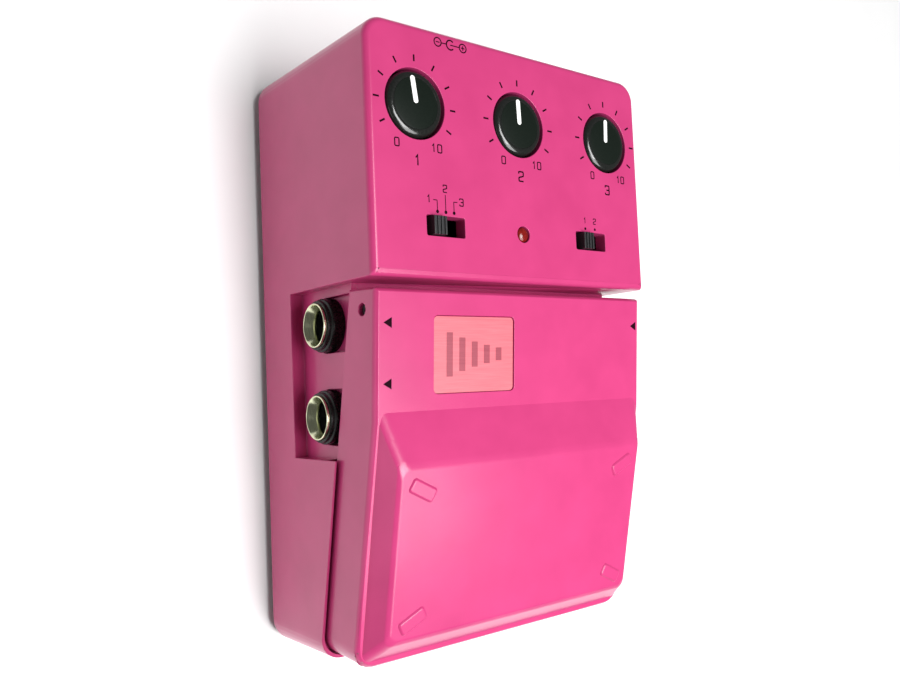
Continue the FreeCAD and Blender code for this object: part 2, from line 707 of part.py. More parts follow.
TOUCH = 0.001
zero = Size(0, "(0)")
overcut = Size(2, "(2)")
hair = Size(0.01, "(0.01)")
slope_rate, slope_cosine = tangent(the.treadle_slope), cosine(the.treadle_slope)
draft_rate = tangent(the.side_draft)
travel_radians = the.treadle_travel * Size(math.radians(1), "(pi / 180)")
half_width, half_length = the.base_width / 2, the.base_length / 2
panel_shrink = draft_rate * the.panel_height
panel_height, deck_height = the.panel_height, the.deck_height
under_panel = panel_height - the.panel_wall
under_upper_deck = deck_height - the.deck_wall

# Along the pedal: places are counted from the control block's front, or from a rim

block_front = half_length - the.block_length
recess_front = the.recess_length - block_front
skirt_rear_y = block_front - the.skirt_rear_gap
hinge_y = block_front - the.hinge_back
treadle_bend_y = the.treadle_bend_back - block_front
pad_toe_y = the.pad_toe_back - block_front
pad_crest_y = the.pad_crest_back - block_front
pad_front_low = half_length - the.pad_nose_low
pad_front_high = half_length - the.pad_nose_high
mark_rear_y = the.mark_rear_back - block_front
mark_front_y = half_length - the.mark_nose
badge_y = the.badge_back - block_front
stop_y = half_length - the.stop_nose
spring_y = (recess_front + stop_y) / 2 - the.spring_shift
bumper_y = half_length - the.bumper_nose
knob_y = half_length - the.knob_inset
window_y = block_front + the.window_step
rear_jack_y = block_front - the.rear_jack_back
front_jack_y = the.front_jack_back - block_front
control_board_front = block_front + the.control_board_step
control_board_rear = half_length - the.control_board_inset
control_side_y = block_front + the.control_post_step
main_board_front = half_length - the.main_board_nose
main_board_rear = block_front + the.main_board_step
main_post_y = block_front - the.main_post_back
main_side_y = half_length - the.main_post_nose
battery_y = half_length - the.battery_inset

# Across the pedal

recess_face = half_width - the.recess_inset
recess_inner = recess_face - the.recess_wall
cavity_half = half_width - panel_shrink - the.cast_wall
cavity_rear = half_length - panel_shrink - the.cast_wall
cavity_front = block_front + the.cast_wall
ear_outer = half_width - the.ear_inset
pad_half_low = half_width - the.pad_side_low
pad_half_high = half_width - the.pad_side_high
bumper_x = half_width - the.bumper_side
control_side_x = half_width - the.control_post_side
main_side_x = half_width - the.main_post_side
jack_bore_end = recess_face - the.jack_bore_depth
jack_inner_end = recess_face - the.jack_depth
main_post_x = jack_inner_end - the.main_post_gap
knob_x = half_width - the.knob_side
window_x = half_width - the.window_side
barrel_end = recess_face + the.barrel_reach


def skirt_line(y):
    """Height of the treadle's skirt edge at a distance behind the centre."""
    return the.skirt_rear_z - (skirt_rear_y - y) * slope_rate


rim_front_z = skirt_line(-half_length)
well_half = half_width - draft_rate * rim_front_z - the.rim_wall
well_front = half_length - draft_rate * rim_front_z - the.rim_wall
deck_line_shift = skirt_line(zero) - the.deck_drop
under_deck_shift = deck_line_shift - the.deck_wall / slope_cosine


def deck_line(y):
    return deck_line_shift + y * slope_rate


def under_deck(y):
    return under_deck_shift + y * slope_rate


control_board_low = the.control_board_z - the.board_wall
foot_switch_top = under_deck(-spring_y - the.foot_switch_width / 2) - the.foot_switch_gap
main_board_z = foot_switch_top - the.foot_switch_height
main_board_low = main_board_z - the.board_wall
knob_places = {"left": -knob_x, "middle": zero, "right": knob_x}
control_posts = [(side * control_side_x, control_side_y) for side in (-1, 1)]
rear_main_posts = [(side * main_post_x, main_post_y) for side in (-1, 1)]
front_main_posts = [(side * main_side_x, -main_side_y) for side in (-1, 1)]
base_screw_rows = (half_length - the.screw_rear, the.screw_nose - half_length)
base_screw_places = [(side * (half_width - the.screw_side), y) for side in (-1, 1) for y in base_screw_rows]
jack_rows = {-1: (rear_jack_y, -front_jack_y), 1: (rear_jack_y,)}
barrel_hole = the.barrel_radius + the.barrel_hole_gap
spring_seat_z = deck_line(-spring_y) + the.spring_seat_rise
plunger_top_z = spring_seat_z + the.plunger_rise
bumper_seat_z = deck_line(-bumper_y) + the.bumper_seat_rise
stop_pad_z = under_deck(-stop_y) - the.stop_pad_drop
stop_post_z = skirt_line(-stop_y) + the.stop_post_rise
stop_head_top = stop_pad_z - the.stop_washer


# The cast housing

def build_housing():
    housing = Piece("housing")
    housing.pad("top", zero, panel_height,
                slab_outline(zero, zero, the.base_width, the.base_length, the.corner_radius),
                taper=-the.side_draft)
    above = panel_height + overcut
    ahead = -(half_length + overcut)

    def front_profile(sketch):
        polygon(sketch, [
            (block_front, above), (block_front, deck_height), (-recess_front, deck_height),
            (-recess_front, skirt_line(-recess_front) + the.rim_rise),
            (ahead, skirt_line(ahead) + the.rim_rise), (ahead, above)])
    housing.pocket("side", zero, the.base_width * 2, front_profile, both=True)
    housing.fillet(the.panel_fillet, level_edge(panel_height))

    def well_outline(sketch):
        corner = the.corner_radius - the.rim_wall
        rounded(sketch, -well_half, -well_front / slope_cosine, well_half,
                -recess_front / slope_cosine, [corner, corner, None, None])
    housing.slant_pocket(deck_line_shift, the.treadle_slope, panel_height, well_outline, UP)

    cut_recesses(housing)
    cut_cavities(housing)
    add_posts(housing)
    add_hinge_ears(housing)
    cut_holes(housing)
    housing.place()


def cut_recesses(housing):
    """The side recesses that hold the jacks, open upwards into the treadle's gap."""
    reach = half_width + overcut
    ahead = recess_front + overcut / 2
    for side, jack_places in jack_rows.items():
        def recess(sketch):
            left, right = (-reach, -recess_face) if side < 0 else (recess_face, reach)
            rounded(sketch, left, -recess_front, right, block_front, [None] * 4)
        housing.pocket("top", the.recess_floor, panel_height, recess)

        def wall_step(sketch):
            polygon(sketch, [
                (block_front, skirt_line(block_front) - the.wall_gap),
                (block_front, panel_height), (-ahead, panel_height),
                (-ahead, skirt_line(-ahead) - the.wall_gap)])
        low = -recess_face - hair if side < 0 else recess_face - the.deck_step
        housing.pocket("side", low, the.deck_step + hair, wall_step)
        for y in jack_places:
            start = -recess_face if side < 0 else recess_face - the.notch_depth
            notch = capped_outline(y, the.jack_z, the.notch_radius, deck_height + overcut, upward=False)
            housing.pocket("side", start, the.notch_depth, notch)


def cut_cavities(housing):
    """The hollow inside, open below, and the seat of the base plate."""
    block = (cavity_front + cavity_rear) / 2
    housing.pocket("top", zero, under_panel,
                   slab_outline(zero, block, cavity_half * 2, cavity_rear - cavity_front,
                                the.cavity_corner))
    step = -(recess_front - the.deck_wall)
    meet = -(recess_front + the.cast_wall + overcut)

    def centre_profile(sketch):
        polygon(sketch, [
            (cavity_front + overcut, -overcut), (cavity_front + overcut, under_upper_deck),
            (step, under_upper_deck), (step, under_deck(step)), (meet, under_deck(meet)), (meet, -overcut)])
    housing.pocket("side", zero, recess_inner * 2, centre_profile, both=True)

    front = half_length - draft_rate * rim_front_z - the.cast_wall
    rear = recess_front + the.cast_wall
    corner = the.cavity_corner

    def front_outline(sketch):
        rounded(sketch, -cavity_half, -front / slope_cosine, cavity_half, -rear / slope_cosine,
                [corner, corner, None, None])
    housing.slant_pocket(under_deck_shift, the.treadle_slope, panel_height, front_outline, DOWN)

    width = the.base_width - the.rim_band * 2
    length = the.base_length - the.rim_band * 2
    housing.pocket("top", zero, the.plate_wall,
                   slab_outline(zero, zero, width, length, the.corner_radius - the.rim_band))


def add_posts(housing):
    """Posts for the base screws and both boards, and the seats of spring, stop and bumpers."""
    housing.pad("top", the.plate_wall, the.screw_post,
                round_outline(*base_screw_places, radius=the.screw_post_radius))
    hang = under_panel + the.standoff_root
    housing.pad("top", the.control_board_z, hang - the.control_board_z,
                round_outline(*control_posts, radius=the.standoff_radius))
    housing.pad("top", main_board_z, under_upper_deck + the.standoff_root - main_board_z,
                round_outline(*rear_main_posts, radius=the.standoff_radius))
    front_top = under_deck(-main_side_y - the.standoff_radius) + the.standoff_root
    housing.pad("top", main_board_z, front_top - main_board_z,
                round_outline(*front_main_posts, radius=the.standoff_radius))

    cup_low = spring_seat_z - the.spring_cup_root
    housing.pad("top", cup_low, the.spring_cup_root + the.spring_cup_depth,
                round_outline((zero, -spring_y), radius=the.spring_cup_radius + the.spring_cup_wall))
    housing.pad("top", bumper_seat_z - the.bumper_seat_root, the.bumper_seat_root,
                round_outline((-bumper_x, -bumper_y), (bumper_x, -bumper_y),
                              radius=the.bumper_seat_radius))
    stop_top = under_deck(-stop_y - the.stop_pad_radius) + the.standoff_root
    housing.pad("top", stop_pad_z, stop_top - stop_pad_z,
                round_outline((zero, -stop_y), radius=the.stop_pad_radius))


def add_hinge_ears(housing):
    """Two ears on the upper deck that carry the treadle's hinge pins."""
    root = deck_height - the.standoff_root
    ear = capped_outline(hinge_y, the.hinge_z, the.ear_radius, root)
    for start in (-ear_outer, ear_outer - the.ear_wall):
        housing.pad("side", start, the.ear_wall, ear)


def cut_holes(housing):
    """Every hole in the casting, from the panel to the deck."""
    housing.pocket("side", zero, ear_outer * 2 + overcut,
                   round_outline((hinge_y, the.hinge_z),
                                 radius=the.hinge_pin_radius + the.running_gap), both=True)

    def panel_holes(sketch):
        for x in knob_places.values():
            circle(sketch, x, knob_y, the.knob_hole_radius)
        for side in (-1, 1):
            slab_outline(side * window_x, window_y, the.window_width, the.window_length,
                         the.window_corner)(sketch)
        circle(sketch, zero, window_y, the.lamp_radius + the.lamp_hole_gap)
    housing.pocket("top", under_panel - overcut / 2, the.panel_wall + overcut, panel_holes)

    def deck_holes(sketch):
        circle(sketch, zero, -spring_y, the.plunger_radius + the.plunger_hole_spare)
        circle(sketch, zero, -stop_y, the.stop_hole_radius)
    housing.pocket("top", the.plate_wall, deck_height - the.plate_wall, deck_holes)
    housing.pocket("top", spring_seat_z, the.spring_cup_depth + overcut,
                   round_outline((zero, -spring_y), radius=the.spring_cup_radius))

    for side, places in jack_rows.items():
        start = -(recess_face + overcut) if side < 0 else recess_inner - overcut
        housing.pocket("side", start, the.recess_wall + overcut * 2,
                       round_outline(*[(y, the.jack_z) for y in places], radius=barrel_hole))
    rear_wall = half_length - cavity_rear
    housing.pocket("front", -(half_length + overcut), rear_wall + overcut * 2,
                   round_outline((-the.dc_x, the.dc_z), radius=the.dc_barrel_radius + the.dc_hole_gap))

    housing.pocket("top", the.plate_wall, the.screw_length + the.board_wall,
                   round_outline(*base_screw_places, radius=the.screw_radius + the.seat_gap))
    housing.pocket("top", the.control_board_z, the.pilot_depth,
                   round_outline(*control_posts, radius=the.pilot_radius))
    housing.pocket("top", main_board_z, the.pilot_depth,
                   round_outline(*rear_main_posts, *front_main_posts, radius=the.pilot_radius))


# The treadle and what belongs to it

treadle_low_z = skirt_line(-well_front)
treadle_high_z = the.treadle_top_rear_z + overcut
treadle_half_low = well_half - the.skirt_gap
front_low_y = well_front - the.skirt_gap
flat_rate = tangent(the.treadle_flat_slope)


def treadle_half(height):
    """Half width of the treadle at a height."""
    return treadle_half_low - (height - treadle_low_z) * tangent(the.treadle_draft)


def treadle_front(height):
    return front_low_y + (height - treadle_low_z) * tangent(the.treadle_front_lean)


def treadle_rear(height):
    return skirt_rear_y - (height - the.skirt_rear_z) * tangent(the.treadle_rear_lean)


def flat_line(y):
    """Height of the rear flat at a distance behind the centre."""
    return the.treadle_top_rear_z - (treadle_rear(the.treadle_top_rear_z) - y) * flat_rate


bend_z = flat_line(-treadle_bend_y)
slope_shift = bend_z + treadle_bend_y * slope_rate
flat_shift = flat_line(zero)
pad_top_shift = slope_shift + the.pad_rise / slope_cosine
roof_drop = the.treadle_wall / slope_cosine
inner_half = treadle_half(the.treadle_top_rear_z) - the.skirt_wall
inner_front_y = front_low_y - the.inner_front
inner_rear_y = treadle_rear(the.treadle_top_rear_z) - the.inner_rear
hinge_pin_end = treadle_half(the.hinge_z) - the.pin_sink
spring_top_z = spring_seat_z + the.spring_length
press_post_z = plunger_top_z + the.press_gap
bumper_top_z = bumper_seat_z + the.bumper_rise
bumper_drop = travel_radians * (bumper_y + hinge_y + the.bumper_post_radius)
bumper_post_z = bumper_top_z + bumper_drop + the.travel_spare
flat_cosine = cosine(the.treadle_flat_slope)


def pad_top(y):
    return pad_top_shift + y * slope_rate


def slope_top(y):
    return slope_shift + y * slope_rate


def build_treadle():
    treadle = Piece("treadle")
    outlines = []
    for height in (treadle_low_z - overcut, treadle_high_z):
        def outline(sketch, height=height):
            half = treadle_half(height)
            rounded(sketch, -half, -treadle_front(height), half, treadle_rear(height),
                    [the.treadle_corner, the.treadle_corner, None, None])
        outlines.append(treadle.sketch("top", height, outline))
    treadle.loft(outlines)
    beyond = -(front_low_y + overcut * 2)
    behind = skirt_rear_y + overcut * 2
    above = treadle_high_z + overcut
    below = treadle_low_z - overcut * 3

    def top_profile(sketch):
        polygon(sketch, [
            (behind, flat_line(behind)), (behind, above), (beyond, above),
            (beyond, slope_top(beyond)), (-treadle_bend_y, bend_z)])
    treadle.pocket("side", zero, the.base_width * 2, top_profile, both=True)

    def skirt_profile(sketch):
        polygon(sketch, [
            (behind, skirt_line(behind)), (beyond, skirt_line(beyond)), (beyond, below), (behind, below)])
    treadle.pocket("side", zero, the.base_width * 2, skirt_profile, both=True)
    treadle.chamfer(the.treadle_bevel, treadle_rim_edge)
    add_pad(treadle)
    hollow_treadle(treadle)
    add_treadle_posts(treadle)
    cut_treadle_details(treadle)
    treadle.place()


def treadle_rim_edge(edge):
    """Tests for the outer edges of the treadle's top, its bend left sharp."""
    box = edge.BoundBox
    y_middle = (box.YMin + box.YMax) / 2
    top = slope_top(as_size(y_middle)) if y_middle < -treadle_bend_y.value else flat_line(as_size(y_middle))
    upright = box.ZMax - box.ZMin > box.YMax - box.YMin
    across_bend = abs(y_middle + treadle_bend_y.value) < TOUCH
    near_top = box.ZMax > top.value - TOUCH
    return near_top and not upright and not across_bend


def add_pad(treadle):
    """The raised foot pad with sloping sides and a ramp behind, and its corner marks."""

    def level(drop, inset=zero):
        """The pad's outline at a depth below its top: shift, half width, front and rear."""
        share = drop / the.pad_rise
        outline = [high + (low - high) * share - inset for low, high in
                   ((pad_half_low, pad_half_high), (pad_front_low, pad_front_high))]
        rear = pad_crest_y + (pad_toe_y - pad_crest_y) * share + inset
        return (pad_top_shift - drop / slope_cosine, *outline, rear)
    levels = [level(the.pad_rise + the.pad_root), level(the.pad_bevel), level(zero, the.pad_bevel)]
    outlines = []
    for shift, half, front, rear in levels:
        def outline(sketch, half=half, front=front, rear=rear):
            rounded(sketch, -half, -front / slope_cosine, half, -rear / slope_cosine,
                    [the.pad_corner] * 4)
        outlines.append(treadle.sketch("top", shift, outline, tilt=the.treadle_slope))
    treadle.loft(outlines)

    def marks(sketch):
        for side in (-1, 1):
            for y, lean in ((mark_rear_y, side), (mark_front_y, -side)):
                rounded_turned(sketch, side * (half_width - the.mark_side), -y / slope_cosine,
                               the.mark_length, the.mark_width, the.mark_corner, lean * the.mark_turn)
    treadle.pad("top", pad_top_shift - the.mark_rise, the.mark_rise * 2, marks, tilt=the.treadle_slope)


def hollow_treadle(treadle):
    """The inside of the treadle: under the flat, under the slope and up into the pad."""
    corner = the.cavity_corner
    depth = treadle_high_z
    bend = treadle_bend_y

    def slope_outline(sketch):
        rounded(sketch, -inner_half, -inner_front_y / slope_cosine, inner_half, -bend / slope_cosine,
                [corner, corner, None, None])
    treadle.slant_pocket(slope_shift - roof_drop, the.treadle_slope, depth, slope_outline, DOWN)

    def flat_outline(sketch):
        rounded(sketch, -inner_half, -(bend + overcut / 4) / flat_cosine, inner_half,
                inner_rear_y / flat_cosine, [None] * 4)
    treadle.slant_pocket(flat_shift - roof_drop, the.treadle_flat_slope, depth, flat_outline, DOWN)

    inset = the.pad_hollow_inset

    def pad_outline(sketch):
        half = pad_half_high - inset
        rounded(sketch, -half, -(pad_front_high - inset) / slope_cosine, half,
                -(pad_crest_y + inset) / slope_cosine, [the.pad_corner] * 4)
    treadle.slant_pocket(pad_top_shift - roof_drop, the.treadle_slope, depth, pad_outline, DOWN)


def add_treadle_posts(treadle):
    """Ribs and posts under the treadle, each rooted in its top wall."""
    rib_rear, rib_front = inner_rear_y + the.inner_rear / 2, inner_front_y + the.inner_front / 2
    root = roof_drop / 2

    def rib_profile(sketch):
        bottom = roof_drop + the.treadle_rib_depth
        polygon(sketch, [
            (rib_rear, flat_line(rib_rear) - root), (-treadle_bend_y, bend_z - root),
            (-pad_crest_y, slope_top(-pad_crest_y) - root),
            (-pad_crest_y - overcut, pad_top(-pad_crest_y - overcut) - root),
            (-pad_front_high + overcut, pad_top(-pad_front_high + overcut) - root),
            (-pad_front_high, slope_top(-pad_front_high) - root),
            (-rib_front, slope_top(-rib_front) - root), (-rib_front, slope_top(-rib_front) - bottom),
            (-treadle_bend_y, bend_z - bottom), (rib_rear, flat_line(rib_rear) - bottom)])
    for start in (-the.treadle_rib_x, the.treadle_rib_x - the.treadle_rib_wall):
        treadle.pad("side", start, the.treadle_rib_wall, rib_profile)

    def post(y, radius, low, places):
        high = pad_top(-y - radius) - root
        treadle.pad("top", low, high - low, round_outline(*places, radius=radius))
    post(spring_y, the.spring_boss_radius, spring_top_z, [(zero, -spring_y)])
    post(spring_y, the.press_post_radius, press_post_z, [(zero, -spring_y)])
    post(stop_y, the.stop_post_radius, stop_post_z, [(zero, -stop_y)])
    post(bumper_y, the.bumper_post_radius, bumper_post_z,
         [(side * bumper_x, -bumper_y) for side in (-1, 1)])


def cut_treadle_details(treadle):
    """Hinge pin seats, the stop screw's thread and the badge recess."""
    treadle.pocket("side", zero, the.base_width,
                   round_outline((hinge_y, the.hinge_z),
                                 radius=the.hinge_pin_radius + the.seat_gap), both=True)
    treadle.pocket("top", stop_post_z - overcut, the.stop_thread_depth + overcut,
                   round_outline((zero, -stop_y), radius=the.stop_shank_radius + the.seat_gap))
    treadle.slant_pocket(flat_shift - the.badge_depth / flat_cosine, the.treadle_flat_slope, overcut,
                         slab_outline(-the.badge_x, -badge_y / flat_cosine, the.badge_width,
                                      the.badge_length, the.badge_corner), UP)


def build_badge_plate():
    badge = Piece("badge_plate")
    badge.pad("top", flat_shift - the.badge_depth / flat_cosine, the.badge_plate,
              slab_outline(-the.badge_x, -badge_y / flat_cosine,
                           the.badge_width - the.badge_gap * 2, the.badge_length - the.badge_gap * 2,
                           the.badge_corner - the.badge_gap), tilt=the.treadle_flat_slope)
    badge.place()


def build_hinge_pins():
    inner = ear_outer - the.ear_wall - the.pin_reach
    for name, start in (("hinge_pin_left", -hinge_pin_end), ("hinge_pin_right", inner)):
        pin = Piece(name)
        pin.pad("side", start, hinge_pin_end - inner,
                round_outline((hinge_y, the.hinge_z), radius=the.hinge_pin_radius))
        pin.place()


def ring_of_sides(centre, across, upward, radius):
    """A closed outline of few straight sides round a point, square to a wire."""
    corners = []
    for number in range(WIRE_SIDES):
        angle = 2 * math.pi * number / WIRE_SIDES
        corners.append(centre + across * (radius * math.cos(angle)) + upward * (radius * math.sin(angle)))
    return Part.makePolygon(corners + corners[:1])


def build_treadle_spring():
    """A coil of six-sided wire, skinned from one section to the next."""
    wire_radius, radius = the.spring_wire_radius.value, the.spring_coil_radius.value
    turns = the.spring_turns.value
    height = the.spring_length.value - 2 * wire_radius
    steps = round(turns * STEPS_PER_TURN)
    sections = []
    for step in range(steps + 1):
        share = step / steps
        angle = 2 * math.pi * turns * share
        outward = Vector(math.cos(angle), math.sin(angle), 0)
        centre = outward * radius + UP * (height * share)
        sections.append(ring_of_sides(centre, outward, UP, wire_radius))
    spring = doc.addObject("Part::Feature", "treadle_spring")
    spring.Label = "treadle_spring"
    spring.Shape = Part.makeLoft(sections, True, True)
    low = spring_seat_z + the.spring_wire_radius + the.foot_stand
    spring.Placement = FreeCAD.Placement(Vector(0, -spring_y.value, low.value), FreeCAD.Rotation())
    nodes.append(spring)


def build_stop_screw():
    """The screw under the treadle that stops it at the top of its travel."""
    screw = Piece("stop_screw")
    reach = stop_post_z + the.stop_thread_depth - stop_head_top
    screw.spin([(zero, -the.stop_head), (the.stop_head_radius, -the.stop_head),
                (the.stop_head_radius, zero), (the.stop_shank_radius, zero),
                (the.stop_shank_radius, reach), (zero, reach)])
    screw.place(zero, -stop_y, stop_head_top)
    washer = Piece("stop_washer")
    inner = the.stop_shank_radius + the.seat_gap
    washer.spin([(inner, zero), (the.stop_washer_radius, zero), (the.stop_washer_radius, the.stop_washer),
                 (inner, the.stop_washer)])
    washer.place(zero, -stop_y, stop_head_top)


def build_treadle_bumpers():
    bumper = Piece("treadle_bumper")
    bumper.pad("top", zero, the.bumper_rise, round_outline((zero, zero), radius=the.bumper_radius))
    group("treadle_bumpers", bumper,
          [(side * bumper_x, -bumper_y, bumper_seat_z) for side in (-1, 1)])


# Knobs, controls and their board

KNOB_TURNS = {"left": the.left_knob_turn, "middle": the.middle_knob_turn, "right": the.right_knob_turn}
knob_low = panel_height + the.knob_rise - the.knob_height
shaft_top = panel_height + the.knob_rise - the.knob_shaft_bite
shaft_low = shaft_top - the.shaft_length
pot_low = control_board_low - the.pot_height
rotor_low = pot_low + the.pot_floor
rotor_high = the.control_board_z + the.rotor_top


def build_knob(name):
    knob = Piece(f"knob_{name}")
    top, outer = the.knob_height, the.knob_radius
    edge, low_edge = outer - the.knob_shoulder, top - the.knob_shoulder
    knee = the.knob_shoulder * the.shoulder_knee
    knob.spin([(zero, zero), (outer, zero), (outer, low_edge), (edge + knee, low_edge + knee),
               (edge, top), (zero, top)])
    fit, bite = the.seat_gap, top - the.knob_shaft_bite
    knob.pocket("top", -overcut, bite + overcut, dee_outline(the.shaft_radius + fit, the.shaft_flat + fit))
    slot = (the.pointer_start + the.pointer_end) / 2
    knob.pocket("top", top - the.pointer_depth, overcut,
                slab_outline(zero, slot, the.pointer_width, the.pointer_end - the.pointer_start))
    knob.place(knob_places[name], knob_y, knob_low, turn=KNOB_TURNS[name])


def build_knob_pointer(name):
    """The white line let into a knob's top."""
    pointer = Piece(f"knob_{name}_pointer")
    fit = the.seat_gap
    middle = (the.pointer_start + the.pointer_end) / 2
    pointer.pad("top", the.knob_height - the.pointer_depth, the.pointer_depth,
                slab_outline(zero, middle, the.pointer_width - fit * 2,
                             the.pointer_end - the.pointer_start - fit * 2))
    pointer.place(knob_places[name], knob_y, knob_low, turn=KNOB_TURNS[name])


def build_control(name):
    """The rotary control behind one knob: shaft, rotor and body."""
    place = (knob_places[name], knob_y)
    shaft = Piece(f"knob_{name}_shaft")
    shaft.pad("top", zero, the.shaft_length, dee_outline(the.shaft_radius, the.shaft_flat))
    shaft.place(*place, shaft_low, turn=KNOB_TURNS[name])

    rotor = Piece(f"control_{name}_rotor")
    rotor.pad("top", zero, rotor_high - rotor_low, round_outline((zero, zero), radius=the.rotor_radius))
    rotor.pocket("top", the.rotor_floor, rotor_high - rotor_low,
                 dee_outline(the.shaft_radius + the.running_gap, the.shaft_flat + the.running_gap))
    rotor.place(*place, rotor_low, turn=KNOB_TURNS[name])

    body = Piece(f"control_{name}_body")
    body.pad("top", zero, the.pot_height, slab_outline(zero, zero, the.pot_width, the.pot_width))
    body.pocket("top", the.pot_floor, the.pot_height,
                round_outline((zero, zero), radius=the.rotor_radius + the.running_gap))
    body.place(*place, pot_low)


def build_slide_switch(name, x, rest):
    """A slide switch under its panel window, with the slider at one end of its travel."""
    body = Piece(f"{name}_switch_body")
    height = under_panel - the.switch_gap - the.control_board_z
    body.pad("top", zero, height, slab_outline(zero, zero, the.switch_width, the.switch_length))
    body.pocket("top", height - the.slot_depth, the.slot_depth + overcut,
                slab_outline(zero, zero, the.slot_width, the.slider_length + the.slot_spare * 2))
    body.place(x, window_y, the.control_board_z)

    slider = Piece(f"{name}_slider")
    foot_low = the.control_board_z + height - the.slot_depth + the.slot_spare
    slider.pad("top", zero, the.slider_foot_height,
               slab_outline(zero, zero, the.slider_foot, the.slider_length))
    slider.pad("top", the.slider_foot_height / 2, panel_height + the.slider_rise - foot_low
               - the.slider_foot_height / 2,
               slab_outline(zero, zero, the.slider_width, the.slider_length))
    slider.fillet(the.window_corner, level_edge(panel_height + the.slider_rise - foot_low))
    slider.place(x + rest, window_y, foot_low)


def build_lamp():
    lamp = Piece("status_led")
    top = panel_height + the.lamp_rise - the.control_board_z
    lamp.spin([(zero, zero), (the.lamp_foot_radius, zero), (the.lamp_foot_radius, the.lamp_foot),
               (the.lamp_radius, the.lamp_foot), (the.lamp_radius, top), (zero, top)])
    lamp.chamfer(the.lamp_edge, round_edge(top, the.lamp_radius))
    lamp.place(zero, window_y, the.control_board_z)


def build_control_board():
    board = Piece("control_board")
    middle = (control_board_front + control_board_rear) / 2
    board.pad("top", zero, the.board_wall,
              slab_outline(zero, middle, (half_width - the.control_board_side) * 2,
                           control_board_rear - control_board_front))

    def holes(sketch):
        for x in knob_places.values():
            circle(sketch, x, knob_y, the.rotor_radius + the.board_hole_spare)
        for x, y in control_posts:
            circle(sketch, x, y, the.board_screw_radius + the.board_hole_spare)
    board.pocket("top", zero, the.board_wall + overcut, holes)
    board.place(zero, zero, control_board_low)


# Jacks and the power socket

FACE_LEFT = FreeCAD.Rotation(UP, 180).multiply(FreeCAD.Rotation(Vector(0, 1, 0), 90))
FACE_RIGHT = FreeCAD.Rotation(Vector(0, 1, 0), 90)
FACE_REAR = FreeCAD.Rotation(Vector(1, 0, 0), -90)
JACKS = [
    ("left_rear", FACE_LEFT, rear_jack_y),
    ("left_front", FACE_LEFT, -front_jack_y),
    ("right", FACE_RIGHT, rear_jack_y)]
jack_board_drop = the.jack_z - main_board_z
barrel_length = barrel_end - recess_inner


def build_jack(name, rotation, y):
    """A jack in three pieces. Each is drawn along its own axis, which points out of the pedal."""
    body = Piece(f"jack_{name}_body")
    low_side = jack_board_drop
    high_side = -the.jack_top

    def block(sketch):
        rounded(sketch, high_side, -the.jack_width / 2, low_side, the.jack_width / 2, [None] * 4)
    body.pad("top", jack_inner_end, recess_inner - jack_inner_end, block)
    body.pad("top", recess_inner - overcut, barrel_length + overcut,
             round_outline((zero, zero), radius=the.barrel_radius))
    body.pocket("top", jack_bore_end, barrel_end,
                round_outline((zero, zero), radius=the.jack_bore_radius))
    body.pocket("top", barrel_end - the.ferrule_length, barrel_end,
                round_outline((zero, zero), radius=the.ferrule_radius + the.seat_gap))
    body.place(zero, y, the.jack_z, rotation=rotation)

    collar = Piece(f"jack_{name}_collar")
    collar_low = recess_face - the.notch_depth
    collar_high = barrel_end + the.collar_proud
    inner = the.barrel_radius + the.running_gap
    collar.spin([(inner, collar_low), (the.collar_radius, collar_low), (the.collar_radius, collar_high),
                 (inner, collar_high)])
    collar.place(zero, y, the.jack_z, rotation=rotation)

    ferrule = Piece(f"jack_{name}_ferrule")
    mouth = barrel_end + the.ferrule_lip
    throat = mouth - the.funnel_depth
    inner_end = barrel_end - the.ferrule_length
    lip = the.barrel_radius - the.running_gap
    ferrule.spin([(the.jack_bore_radius, inner_end), (the.ferrule_radius, inner_end),
                  (the.ferrule_radius, barrel_end), (lip, barrel_end), (lip, mouth),
                  (the.funnel_radius, mouth), (the.jack_bore_radius, throat)])
    ferrule.place(zero, y, the.jack_z, rotation=rotation)


def build_dc_jack():
    """The power socket, drawn along its own axis, which points to the rear."""
    body = Piece("dc_jack_body")
    outside = half_length - draft_rate * the.dc_z
    start = cavity_rear - the.dc_body
    barrel = outside - the.dc_barrel_short - start
    body.pad("top", zero, the.dc_body, slab_outline(zero, zero, the.dc_width, the.dc_height))
    body.pad("top", the.dc_body / 2, barrel - the.dc_body / 2,
             round_outline((zero, zero), radius=the.dc_barrel_radius))
    floor = barrel - the.dc_bore_depth
    body.pocket("top", floor, the.dc_bore_depth + overcut,
                round_outline((zero, zero), radius=the.dc_bore_radius))
    body.pocket("top", floor - overcut, overcut * 2,
                round_outline((zero, zero), radius=the.dc_pin_radius + the.seat_gap))
    body.place(-the.dc_x, start, the.dc_z, rotation=FACE_REAR)

    pin = Piece("dc_jack_pin")
    length = overcut + the.dc_bore_depth - the.dc_pin_short
    pin.pad("top", zero, length, round_outline((zero, zero), radius=the.dc_pin_radius))
    pin.place(-the.dc_x, start + floor - overcut, the.dc_z, rotation=FACE_REAR)


# The main board and what stands on it

